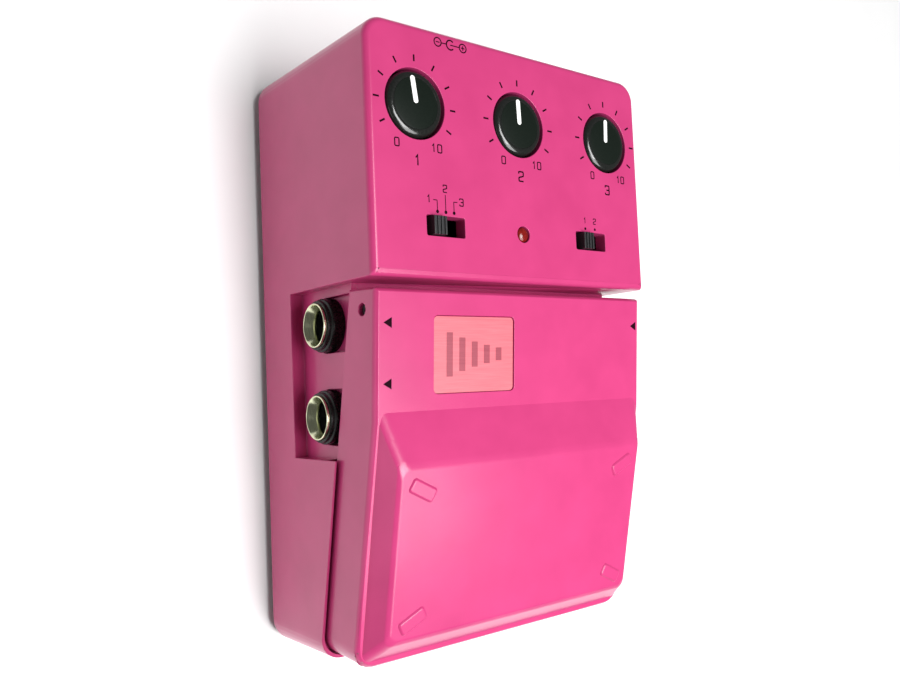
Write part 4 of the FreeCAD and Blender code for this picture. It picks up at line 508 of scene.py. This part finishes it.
def housing_share(middle, along, sharp):
    """The block's rim is soft, the other outer edges are finer, the inside is left."""
    out = abs(middle.x)
    if not sharp or (out < INSIDE_X and middle.y < INSIDE_Y and middle.z < INSIDE_TOP):
        return 0
    front = middle.y < BLOCK_FRONT_Y and middle.z > BLOCK_FRONT_LOW
    rim = out > BLOCK_SIDE_X or middle.y > BLOCK_REAR_Y or front
    return BLOCK_RIM if rim and middle.z > BLOCK_RIM_LOW else FINE


def on_recess(point):
    """Whether a point is on the shallow recess of the badge, on the flat."""
    inside = BADGE_LEFT < point.x < BADGE_RIGHT and BADGE_NEAR < point.y < BADGE_FAR
    return inside and point.z > treadle_top(point.y) - 1.0


def on_rim(point):
    """Whether a point is on the treadle's outer edge, with its rounded front corners."""
    out, ahead = abs(point.x), CORNER_Y - point.y
    corner = out > CORNER_X and ahead > 0 and math.hypot(out - CORNER_X, ahead) > CORNER_REACH
    side = out > TREADLE_SIDE_X
    return corner or side or point.y > FLAT_REAR_Y - 1.0 or point.y < TREADLE_NOSE_Y


def treadle_share(middle, along, sharp):
    """Soft rear corners and chamfer, finer ridges on the pad and round the badge."""
    above = middle.z - treadle_top(middle.y)
    if not sharp:
        return 0
    if above > ABOVE_RIDGE:
        return PAD_RIDGE
    if not on_rim(middle):
        return BADGE_EDGE if on_recess(middle) else 0
    if middle.y > TREADLE_REAR_Y and abs(along.z) > UPRIGHT:
        return REAR_CORNER
    if above < UNDER_CHAMFER:
        return 0 if middle.y < CORNER_Y else FINE
    return CHAMFER_TOP if above > ABOVE_CHAMFER else CHAMFER_FOOT


for node, share_of in (("housing", housing_share), ("treadle", treadle_share)):
    casting = merged_copy(node, f"{node}_casting")
    if node == "treadle":
        clear_marks(casting)
    weigh_edges(casting, share_of)
    round_by_weight(casting)
    dress(casting, node, paint, [node])
    print(casting.name, len(casting.data.polygons), "faces")

# %% [markdown]
# Round pieces are turned, as on a lathe: half an outline, given as radius and height, is
# spun round the upright axis by a Screw modifier. Corners that catch the light are
# small arcs in that outline, made by a helper.

# %% A lathe
def bow(radius_at, height_at, radius, first, last, steps=6):
    """Outline points on an arc round a place, angles in degrees from outward to upward."""
    points = []
    for step in range(steps + 1):
        angle = math.radians(first + (last - first) * step / steps)
        points.append((radius_at + radius * math.cos(angle), height_at + radius * math.sin(angle)))
    return points


def turned(name, outline, steps=96, closed=False):
    """A piece turned from an outline of (radius, height) in mm."""
    count = len(outline)
    edges = [(i, (i + 1) % count) for i in range(count if closed else count - 1)]
    piece = drawn(name, [(radius, 0, height) for radius, height in outline], edges)
    take(piece)
    lathe = piece.modifiers.new("lathe", "SCREW")
    lathe.steps = steps
    lathe.use_merge_vertices = True
    lathe.merge_threshold = SAME_POINT
    bpy.ops.object.modifier_apply(modifier="lathe")
    edit(piece)
    bpy.ops.mesh.remove_doubles(threshold=SAME_POINT)
    bpy.ops.mesh.normals_make_consistent(inside=False)
    let_go()
    take(piece)
    bpy.ops.object.shade_smooth_by_angle(angle=TURNED_SMOOTH_UNDER)
    return piece


# %% [markdown]
# A knob is a low black cap with a flat satin face, a glossy rounded shoulder and a
# straight skirt that goes down into its hole. It has a socket for the shaft. The face
# is a separate thin disc, so that it can be duller than the shoulder, and the pointer
# is a white bar with round ends let into it. Each knob is turned to its own angle.

# %% Knobs
KNOB_Y, KNOB_LOW, KNOB_TOP = 45.5, 40.1, 47.3
KNOBS = {"left": (-26.15, 8.0), "middle": (0.0, 2.0), "right": (26.15, -3.0)}
SKIRT, FACE, SHOULDER, DISH = 6.5, 5.0, 1.3, 0.10
SOCKET, SOCKET_TOP = 2.03, 44.35
LINE_WIDTH, LINE_END, LINE_THICKNESS = 1.05, 5.3, 0.42
CAP = [(0, SOCKET_TOP), (SOCKET, SOCKET_TOP), (SOCKET, KNOB_LOW), (6.3, KNOB_LOW),
       (SKIRT, KNOB_LOW + 0.2), *bow(FACE + 0.2, KNOB_TOP - SHOULDER, SHOULDER, 0, 88, 12),
       (FACE, KNOB_TOP - 0.03), (FACE - 0.05, KNOB_TOP - DISH), (0, KNOB_TOP - DISH)]
DISC = [(0, -0.06), (FACE - 0.08, -0.06), (FACE - 0.06, 0.05), (FACE - 0.2, 0.085), (0, 0.085)]


def bar_with_round_ends(name, width, start, end, thickness, steps=10):
    """A flat bar along Y with half-round ends, its underside at height zero."""
    reach, outline = width / 2, []
    for middle, first in ((end - reach, 0), (start + reach, 180)):
        for step in range(steps + 1):
            angle = math.radians(first + 180 * step / steps)
            outline.append((reach * math.cos(angle), middle + reach * math.sin(angle)))
    return slab(name, outline, thickness)


for side, (x, turn) in KNOBS.items():
    cap = turned(f"{side}_knob_cap", CAP)
    dress(put(cap, x, KNOB_Y, 0), f"knob_{side}", knob_gloss, [f"knob_{side}"])
    face = turned(f"{side}_knob_face", DISC)
    dress(put(face, x, KNOB_Y, KNOB_TOP - DISH), f"knob_{side}", knob_satin)
    pointer = bar_with_round_ends(f"{side}_knob_line", LINE_WIDTH, 0.0, LINE_END, LINE_THICKNESS)
    put(pointer, x, KNOB_Y, KNOB_TOP - LINE_THICKNESS, (0, 0, turn))
    dress(pointer, f"knob_{side}", white_line, [f"knob_{side}_pointer"])
print("turned", len(KNOBS), "knobs")

# %% [markdown]
# Each jack shows a black collar, wide at the wall and stepped in with soft edges,
# and a bright plated sleeve with a fine lip round a hollow funnel. Both are turned
# upright and then laid on their side to point out of the pedal.

# %% Jacks
JACK_Z = 25.5
JACKS = {"left_rear": (-1, 4.9), "left_front": (-1, -13.45), "right": (1, 4.9)}
COLLAR = [(4.56, 33.72), (5.4, 33.72), *bow(5.05, 36.15, 0.35, 0, 80), (4.98, 36.62),
          *bow(4.73, 37.12, 0.25, 0, 90), (4.6, 37.36), (4.56, 37.28)]
FUNNEL = [(4.12 - 0.13 * step, 37.84 - 0.26 * step) for step in range(7)]
SLEEVE = [(3.25, 35.42), (4.09, 35.42), (4.09, 37.27), (4.44, 37.29),
          *bow(4.29, 37.84, 0.15, 0, 170), *FUNNEL, (3.25, 36.1)]
for name, (side, y) in JACKS.items():
    lay = (0, 90 * side, 0)
    collar = put(turned(f"{name}_jack_collar", COLLAR, closed=True), 0, y, JACK_Z, lay)
    dress(collar, "housing", collar_black, [f"jack_{name}_collar"])
    sleeve = put(turned(f"{name}_jack_sleeve", SLEEVE, closed=True), 0, y, JACK_Z, lay)
    dress(sleeve, "housing", nickel, [f"jack_{name}_ferrule"])
print("turned", len(JACKS), "jack fronts")

# %% [markdown]
# The treadle hangs on two pins. What shows of each is a dark end a little below the
# skirt, with a small dimple in it. It is turned upright and laid down like a jack.

# %% Hinge pins
PIN, PIN_END = 1.19, 0.25
for side, name in ((-1, "hinge_pin_left"), (1, "hinge_pin_right")):
    low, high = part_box(name)
    near, far = sorted((abs(low[0]) / MM, abs(high[0]) / MM))
    middle_y, middle_z = ((low[axis] + high[axis]) / 2 / MM for axis in (1, 2))
    pin = turned(f"{name}_end", [
        (0, near), (PIN, near), (PIN, far + 0.1), (1.05, far + PIN_END), (0.5, far + PIN_END),
        (0.3, far), (0, far)], 48)
    put(pin, 0, middle_y, middle_z, (0, 90 * side, 0))
    dress(pin, "treadle", dark_steel, [name])
print("turned both hinge pins")

# %% [markdown]
# The lamp is a small red dome on a wider foot under the panel. It is turned like the
# knobs, with the dome as a flattened arc.

# %% Lamp
WINDOW_Y = 22.45
DOME, DOME_LOW, DOME_RISE = 1.6, 46.35, 0.85
dome = []
for angle in range(0, 91, 10):
    along, up = math.cos(math.radians(angle)), math.sin(math.radians(angle))
    dome.append((DOME * along, DOME_LOW + DOME_RISE * up))
foot = [(0, 38.0), (1.85, 38.0), (1.9, 38.1), (1.9, 39.9), (DOME, 40.0)]
lamp = turned("lamp_dome", foot + dome)
dress(put(lamp, 0, WINDOW_Y, 0), "housing", lens_red, ["status_led"])
print("turned the lamp")

# %% [markdown]
# A slider is a black lever with fine grip ridges across its top and a wide foot that
# stays under the panel. A block is cut along its length, every second strip of its top
# is pushed down, and a light bevel takes the edges off.

# %% Sliders
LEVER_WIDTH, LEVER_LENGTH, LEVER_TOP = 3.0, 3.6, 48.0
FOOT_LOW, FOOT_WIDTH, FOOT_HEIGHT = 40.6, 6.0, 2.2
STRIPS, RIDGE_DEPTH, FACING_UP = 7, 0.35, 0.9
SLIDERS = {"range": -22.0, "mode": 18.5}


def run_of(piece, edge, axis):
    """How far an edge of a piece runs along an axis, in mm."""
    first, last = (piece.data.vertices[corner].co[axis] for corner in edge.vertices)
    return abs(first - last) / MM


def block(name, width, length, low, high):
    """A box round the upright axis, its sides in mm."""
    let_go()
    bpy.ops.mesh.primitive_cube_add(size=1)
    piece = bpy.context.object
    piece.name = name
    piece.dimensions = (width * MM, length * MM, (high - low) * MM)
    piece.location = (0, 0, (low + high) / 2 * MM)
    settle(piece)
    return piece


def cut_in_strips(piece):
    """Cuts a block along its length into narrow strips."""
    edit(piece, "EDGE")
    pick(piece, "edges", lambda edge: run_of(piece, edge, 0) > 1)
    bpy.ops.mesh.subdivide(number_cuts=STRIPS - 1)
    let_go()


def push_strips_down(piece, width, high, depth):
    """Sinks every second strip of the top to leave ridges."""
    edit(piece, "FACE")

    def sunk(face):
        strip = int((face.center.x / MM + width / 2) / (width / STRIPS))
        on_top = face.normal.z > FACING_UP and abs(face.center.z / MM - high) < 0.01
        return on_top and strip % 2 == 1
    pick(piece, "polygons", sunk)
    bpy.ops.mesh.extrude_faces_move(TRANSFORM_OT_shrink_fatten={"value": -depth * MM})
    let_go()


for name, x in SLIDERS.items():
    lever_low = FOOT_LOW + FOOT_HEIGHT / 2
    lever = block(f"{name}_lever", LEVER_WIDTH, LEVER_LENGTH, lever_low, LEVER_TOP)
    cut_in_strips(lever)
    push_strips_down(lever, LEVER_WIDTH, LEVER_TOP, RIDGE_DEPTH)
    foot = block(f"{name}_foot", FOOT_WIDTH, LEVER_LENGTH, FOOT_LOW, FOOT_LOW + FOOT_HEIGHT)
    slider = joined([lever, foot], f"{name}_slide_lever")
    round_edges(slider, 0.06, 2, 40)
    put(slider, x, WINDOW_Y, 0)
    dress(slider, f"{name}_slider", plastic, [f"{name}_slider"])
print("cut both sliders")

# %% [markdown]
# In each corner of the foot pad stands a small raised lozenge, part of the casting. Each
# is a block with its upright edges rounded by the bevel operator. Inset with a depth
# then lifts its top on sloping sides, which show as a fine dark line. The lozenge is
# turned to its slant, tilted to the slope and sunk a little.

# %% Corner marks
MARK_LENGTH, MARK_WIDTH, MARK_RISE, MARK_SUNK = 6.4, 3.1, 0.35, 0.3
MARK_SIDE, MARK_CORNER, MARK_TURN = 0.42, 0.8, 27.0
corner_marks = []
for side in (-1, 1):
    for y, lean in MARK_PLACES:
        mark = block("mark", MARK_LENGTH, MARK_WIDTH, -MARK_SUNK, 0.0)
        edit(mark, "EDGE")
        pick(mark, "edges", lambda edge: run_of(mark, edge, 2) > 0.1)
        bpy.ops.mesh.bevel(offset=MARK_CORNER * MM, segments=6)
        edit(mark, "FACE")
        pick(mark, "polygons", lambda face: face.normal.z > FACING_UP)
        bpy.ops.mesh.inset(thickness=MARK_SIDE * MM, depth=MARK_RISE * MM)
        round_edges(mark, 0.12, 3, 30)
        put(mark, 0, 0, 0, (0, 0, side * lean * MARK_TURN))
        corner_marks.append(put(mark, side * MARK_X, y, pad_top(y), (SLOPE, 0, 0)))
dress(joined(corner_marks, "pad_corner_marks"), "treadle", paint)
print("raised", len(MARK_PLACES) * 2, "corner marks")

# %% [markdown]
# The printing is a real layer of ink: each mark is a plate a few hundredths of a
# millimetre thick, standing just proud of the paint. Marks are drawn flat, all marks of
# one surface are joined into one piece, and they are lifted on to it, tilted when they
# go on the treadle.

# %% Marks
INK_THICKNESS, INK_SUNK = 0.05, 0.015


def plate(name, outline):
    """A thin printed mark from an outline of (x, y) in mm."""
    return slab(name, outline, INK_THICKNESS)


def stroke(x1, y1, x2, y2, width):
    """A straight printed line."""
    length = math.hypot(x2 - x1, y2 - y1)
    u, v = -(y2 - y1) / length * width / 2, (x2 - x1) / length * width / 2
    ends = [(x1 - u, y1 - v), (x2 - u, y2 - v), (x2 + u, y2 + v), (x1 + u, y1 + v)]
    return plate("stroke", ends)


def spot(x, y, radius, steps=20):
    """A printed dot."""
    return plate("spot", [(x + radius * math.cos(2 * math.pi * i / steps),
                           y + radius * math.sin(2 * math.pi * i / steps)) for i in range(steps)])


def ring(x, y, radius, width, first=0, last=360, steps=32):
    """A printed circle or part of one: out along its outer edge, back along its inner."""
    outer, inner = radius + width / 2, radius - width / 2
    rim = []
    for reach, angles in ((outer, range(steps + 1)), (inner, range(steps, -1, -1))):
        for i in angles:
            angle = math.radians(first + (last - first) * i / steps)
            rim.append((x + reach * math.cos(angle), y + reach * math.sin(angle)))
    return plate("ring", rim)


# %% [markdown]
# The numbers are drawn like the rest, as ribbons of even width along a few straight runs
# with rounded corners. That suits the squarish numerals of this kind of panel better
# than a text object in a round typeface, and keeps them flat and light. Each figure is
# one run or more, in a box that reaches from -1 to 1, with how much its corners are cut.

# %% Numbers
SHAPES = {
    "0": [([(-1, 0), (-1, 1), (1, 1), (1, -1), (-1, -1), (-1, 0)], 0.5)],
    "1": [([(-0.7, 0.45), (0, 1), (0, -1)], 0.0)],
    "2": [([(-1, 0.55), (-1, 1), (1, 1), (1, 0.1), (-1, -0.25), (-1, -1), (1, -1)], 0.35)],
    "3": [([(-1, 0.6), (-1, 1), (1, 1), (1, -1), (-1, -1), (-1, -0.6)], 0.35),
          ([(-0.4, 0), (1, 0)], 0.0)]}
FIGURE_WIDTH, FIGURE_GAP, FIGURE_STROKE = 0.62, 0.28, 0.15
CORNER_STEPS = 4


def rounded_run(corners, radius):
    """A run of points with every inner corner cut round by a few short steps."""
    run = [Vector(corners[0])]
    for before, corner, after in zip(corners, corners[1:], corners[2:]):
        before, corner, after = Vector(before), Vector(corner), Vector(after)
        reach = min(radius, (before - corner).length / 2, (after - corner).length / 2)
        start = corner + (before - corner).normalized() * reach
        end = corner + (after - corner).normalized() * reach
        for step in range(CORNER_STEPS + 1 if reach else 1):
            t = step / CORNER_STEPS
            run.append(start * (1 - t) ** 2 + corner * 2 * t * (1 - t) + end * t ** 2)
    return run + [Vector(corners[-1])]


def ribbon(run, width):
    """A flat mark of even width along a run of points."""
    sides = ([], [])
    for number, point in enumerate(run):
        before, after = run[max(number - 1, 0)], run[min(number + 1, len(run) - 1)]
        arriving, leaving = (point - before), (after - point)
        arriving = (arriving if arriving.length else leaving).normalized()
        leaving = (leaving if leaving.length else arriving).normalized()
        along = (arriving + leaving).normalized()
        across = Vector((-along.y, along.x)) * width / 2 / max(along.dot(arriving), 0.5)
        sides[0].append(point + across)
        sides[1].append(point - across)
    return plate("ribbon", sides[0] + sides[1][::-1])


def digit(text, x, y, height):
    """A printed number, centred on a place."""
    ribbons = []
    half = height / 2
    wide = half * FIGURE_WIDTH
    pitch = wide * 2 + height * FIGURE_GAP
    for number, figure in enumerate(text):
        middle = x + (number - (len(text) - 1) / 2) * pitch
        for corners, radius in SHAPES[figure]:
            places = [(middle + u * wide, y + v * half) for u, v in corners]
            ribbons.append(ribbon(rounded_run(places, radius * wide), height * FIGURE_STROKE))
    return joined(ribbons, "digit")


# %% [markdown]
# Round every knob runs a scale: nine ticks, with 0 and 10 at its lower ends. The three
# places of the left switch have dots with thin lead lines, the two places of the right
# one have dots alone, and plain numbers stand where the words would be. Behind the
# dials is the power socket's sign: two circles with signs in them, joined to the ring
# between them and to its middle.

# %% Printing on the panel
PANEL_TOP = 47.0
TICK_START, TICK_END, TICK_WIDTH = 8.2, 9.5, 0.36
SCALE_END_X, SCALE_END_DROP, SCALE_END_HEIGHT = 4.6, 8.0, 1.55
DIAL_NUMBER_Y, DIAL_NUMBER_HEIGHT = 34.6, 2.0
DOT_Y, LEAD_Y, MIDDLE_LEAD_Y, LEAD_REACH, LEAD_WIDTH = 25.2, 27.4, 28.6, 0.9, 0.16
RANGE_PLACES, RANGE_DOT, RANGE_NUMBER = (-22.0, -20.0, -18.0), 0.34, 1.4
RANGE_NUMBERS = (("1", -23.9, 27.5), ("2", -20.0, 29.8), ("3", -16.1, 27.5))
MODE_PLACES, MODE_DOT, MODE_NUMBER, MODE_NUMBER_Y = (18.4, 21.4), 0.30, 1.2, 27.0
SIGN_Y, SIGN_LINE, SIGN_ARM = 58.75, 0.2, 0.45
MINUS_X, CENTRE_X, PLUS_X, SIDE_RING, CENTRE_RING = -20.3, -17.2, -14.1, 0.85, 0.95
SIDE_RING_LINE, CENTRE_RING_LINE, OPEN_TO, OPEN_FROM = 0.24, 0.28, 45, 315
marks = []
for x, _ in KNOBS.values():
    for angle in range(-120, 121, 30):
        u, v = math.sin(math.radians(angle)), math.cos(math.radians(angle))
        marks.append(stroke(x + TICK_START * u, KNOB_Y + TICK_START * v,
                            x + TICK_END * u, KNOB_Y + TICK_END * v, TICK_WIDTH))
    marks.append(digit("0", x - SCALE_END_X, KNOB_Y - SCALE_END_DROP, SCALE_END_HEIGHT))
    marks.append(digit("10", x + SCALE_END_X, KNOB_Y - SCALE_END_DROP, SCALE_END_HEIGHT))
for number, (x, _) in enumerate(KNOBS.values(), 1):
    marks.append(digit(str(number), x, DIAL_NUMBER_Y, DIAL_NUMBER_HEIGHT))
for x, top in zip(RANGE_PLACES, (LEAD_Y, MIDDLE_LEAD_Y, LEAD_Y)):
    marks.append(spot(x, DOT_Y, RANGE_DOT))
    marks.append(stroke(x, DOT_Y, x, top, LEAD_WIDTH))
for x, way in ((RANGE_PLACES[0], -1), (RANGE_PLACES[2], 1)):
    marks.append(stroke(x, LEAD_Y, x + way * LEAD_REACH, LEAD_Y, LEAD_WIDTH))
for text, x, y in RANGE_NUMBERS:
    marks.append(digit(text, x, y, RANGE_NUMBER))
for number, x in enumerate(MODE_PLACES, 1):
    marks.append(spot(x, DOT_Y, MODE_DOT))
    marks.append(digit(str(number), x, MODE_NUMBER_Y, MODE_NUMBER))
for x in (MINUS_X, PLUS_X):
    marks.append(ring(x, SIGN_Y, SIDE_RING, SIDE_RING_LINE))
    marks.append(stroke(x - SIGN_ARM, SIGN_Y, x + SIGN_ARM, SIGN_Y, SIGN_LINE))
marks.append(stroke(PLUS_X, SIGN_Y - SIGN_ARM, PLUS_X, SIGN_Y + SIGN_ARM, SIGN_LINE))
marks.append(ring(CENTRE_X, SIGN_Y, CENTRE_RING, CENTRE_RING_LINE, OPEN_TO, OPEN_FROM))
for start, end in ((MINUS_X + SIDE_RING, CENTRE_X - CENTRE_RING), (CENTRE_X, PLUS_X - SIDE_RING)):
    marks.append(stroke(start, SIGN_Y, end, SIGN_Y, SIGN_LINE))
print_panel = joined(marks, "panel_printing")
dress(put(print_panel, 0, 0, PANEL_TOP - INK_SUNK), "housing", ink)
print("printed the panel:", len(print_panel.data.polygons), "faces")

# %% [markdown]
# The treadle carries an arrow beside each jack: plugs go in towards the pedal on the
# right and come out on the left. The marks lie on the rear flat, which slopes a little.

# %% Printing on the treadle
def on_flat(piece, y):
    """Moves a mark drawn round the origin on to the sloping flat of the treadle."""
    return put(piece, 0, y, treadle_top(y) - INK_SUNK, (FLAT_SLOPE, 0, 0))


TIP, TAIL, ARROW_HALF = 0.95, 0.85, 1.0
ARROW_PLACES = ((-33.4, 3.85), (-33.4, -7.4), (33.9, 3.9))
arrows = []
for x, y in ARROW_PLACES:
    outline = [(x - TIP, 0), (x + TAIL, -ARROW_HALF), (x + TAIL, ARROW_HALF)]
    arrows.append(on_flat(plate("arrow", outline), y))
arrow_print = joined(arrows, "treadle_printing")
dress(arrow_print, "treadle", ink)
print("printed the treadle")

# %% [markdown]
# The badge is a plain plate with a row of upright bars that get shorter from left to
# right, a generic sign for an echo dying away.

# %% Badge
BADGE_X, BADGE_Y, BADGE_DROP = -12.75, -2.1, 0.3
FIRST_BAR, BAR_PITCH, BAR_WIDTH, BAR_HEIGHTS = -6.2, 3.1, 1.5, (8.6, 6.6, 5.0, 3.7, 2.6)
bars = []
for number, height in enumerate(BAR_HEIGHTS):
    x = BADGE_X + FIRST_BAR + number * BAR_PITCH
    bars.append(stroke(x, -height / 2, x, height / 2, BAR_WIDTH))
badge_print = joined(bars, "badge_printing")
on_flat(badge_print, BADGE_Y)
put(badge_print, 0, 0, -BADGE_DROP)
dress(badge_print, "treadle", badge_ink)
print("printed the badge")

# %% [markdown]
# Under the pedal are four screws with a cross recess and four rubber feet. The screws
# have flat sunk heads; the recess is cut with a Boolean modifier and two crossed
# blocks. The feet are turned, with rounded lower edges and a shallow dish.

# %% Base screws and feet
SEAT = 3.0
SCREW = [(0, -1.4), (1.1, -1.4), (2.45, -0.1), (2.45, 0.0), (1.24, 0.0), (1.24, 8.0), (0, 8.0)]
SLOT_LENGTH, SLOT_WIDTH, SLOT_LOW, SLOT_HIGH = 1.9, 0.45, -2.0, -0.75
FOOT = [(0, 0.25), (3.2, 0.25), (3.6, 0.0), *bow(4.8, 0.4, 0.4, -90, 0, 4), (5.2, 2.9),
        (5.1, 3.0), (0, 3.0)]
SCREW_X, SCREW_YS, FOOT_X, FOOT_YS = 32.2, (55.6, -54.0), 24.0, (52.5, -49.0)
screws, feet = [], []
for side in (-1, 1):
    for y in SCREW_YS:
        screw = turned("screw", SCREW, 40)
        for turn in (0, 90):
            cutter = block("cutter", SLOT_LENGTH, SLOT_WIDTH, SLOT_LOW, SLOT_HIGH)
            put(cutter, 0, 0, 0, (0, 0, turn))
            take(screw)
            cut = screw.modifiers.new("recess", "BOOLEAN")
            cut.object = cutter
            cut.solver = "EXACT"
            bpy.ops.object.modifier_apply(modifier="recess")
            bpy.data.objects.remove(cutter)
        screws.append(put(screw, side * SCREW_X, y, SEAT))
    for y in FOOT_YS:
        feet.append(put(turned("foot", FOOT, 64), side * FOOT_X, y, 0))
dress(joined(screws, "base_screw_set"), "housing", steel, ["base_screws"])
dress(joined(feet, "foot_set"), "housing", rubber, ["rubber_feet"])
print("made screws and feet")

# %% [markdown]
# The coil under the treadle is squeezed each time the treadle goes down. A copy of it
# rides on the housing and stands on its seat in the deck. The seat above it tilts as it
# goes down and the coil doesn't.

# %% The treadle's spring
coil = merged_copy("treadle_spring", "treadle_spring_coil")
smooth_shading(coil)
dress(coil, "housing", steel, ["treadle_spring"])
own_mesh(coil)
print(coil.name, len(coil.data.polygons), "faces")

# %% [markdown]
# The photograph looks down on the pedal from its left. The place and direction below
# were worked out from the straight edges of the casing in the photograph, so that the
# picture can be laid over it.

# %% Camera
CAMERA_PLACE = Vector((-115.31, -8.32, 172.34)) * MM
LOOK = Vector((0.5978, 0.0553, -0.7997)).normalized()
UP = Vector((0.0, 0.9976, 0.0691)).normalized()
LENS_MM, SENSOR_MM, SHIFT_X, SHIFT_Y = 33.02, 36, 0.0061, -0.0027


def add_camera():
    data = bpy.data.cameras.new("view")
    data.lens = LENS_MM
    data.sensor_width = SENSOR_MM
    data.shift_x, data.shift_y = SHIFT_X, SHIFT_Y
    data.clip_start = 0.01
    camera = bpy.data.objects.new("view", data)
    bpy.context.scene.collection.objects.link(camera)
    right = LOOK.cross(UP).normalized()
    up = right.cross(LOOK)
    turn = Matrix((right, up, -LOOK)).transposed().to_4x4()
    camera.matrix_world = Matrix.Translation(CAMERA_PLACE) @ turn
    bpy.context.scene.camera = camera


add_camera()
print("camera placed")

# %% [markdown]
# The floor is a wide pale sheet. A broad light high above makes it white and draws the
# bright lines on the rounded edges. A small one close over the front of the treadle makes
# that end brighter than the rear of the panel, and a faint one low on the left lifts the
# side walls and the jacks. A dim sky softens the rest. The Standard view transform keeps
# the strong pink as it is.

# %% Floor and light
FLOOR_SIZE, SKY = 4, 0.12


def add_floor():
    let_go()
    bpy.ops.mesh.primitive_plane_add(size=FLOOR_SIZE, location=(0, 0, 0))
    floor = bpy.context.object
    floor.name = "floor"
    material, tree, shader = fresh_material("pale_floor")
    noise = object_noise(tree, 30.0).outputs["Fac"]
    shade_between(tree, shader, noise, (0.90, 0.90, 0.90), (0.93, 0.93, 0.93))
    shader.inputs["Roughness"].default_value = 0.95
    shader.inputs["Specular IOR Level"].default_value = 0.2
    floor.data.materials.append(material)


def add_light(name, place, target, size, watts):
    """A square light at a place, facing a target, all in metres."""
    data = bpy.data.lights.new(name, "AREA")
    data.shape = "RECTANGLE"
    data.size = data.size_y = size
    data.energy = watts
    light = bpy.data.objects.new(name, data)
    bpy.context.scene.collection.objects.link(light)
    light.location = place
    light.rotation_euler = (Vector(target) - Vector(place)).to_track_quat("-Z", "Y").to_euler()


def add_sky(strength):
    world = bpy.data.worlds.new("studio")
    world.use_nodes = True
    sky = world.node_tree.nodes["Background"]
    sky.inputs["Color"].default_value = (1, 1, 1, 1)
    sky.inputs["Strength"].default_value = strength
    bpy.context.scene.world = world


add_floor()
add_light("top_light", (0.1, -0.1, 1.4), (0, 0, 0), 0.7, 19.0)
add_light("near_light", (0.03, -0.11, 0.24), (0, -0.03, 0.03), 0.17, 0.62)
add_light("side_light", (-0.42, -0.10, 0.12), (0, -0.02, 0.02), 0.22, 0.22)
add_sky(SKY)
bpy.context.scene.view_settings.view_transform = "Standard"
print("floor and lights placed")
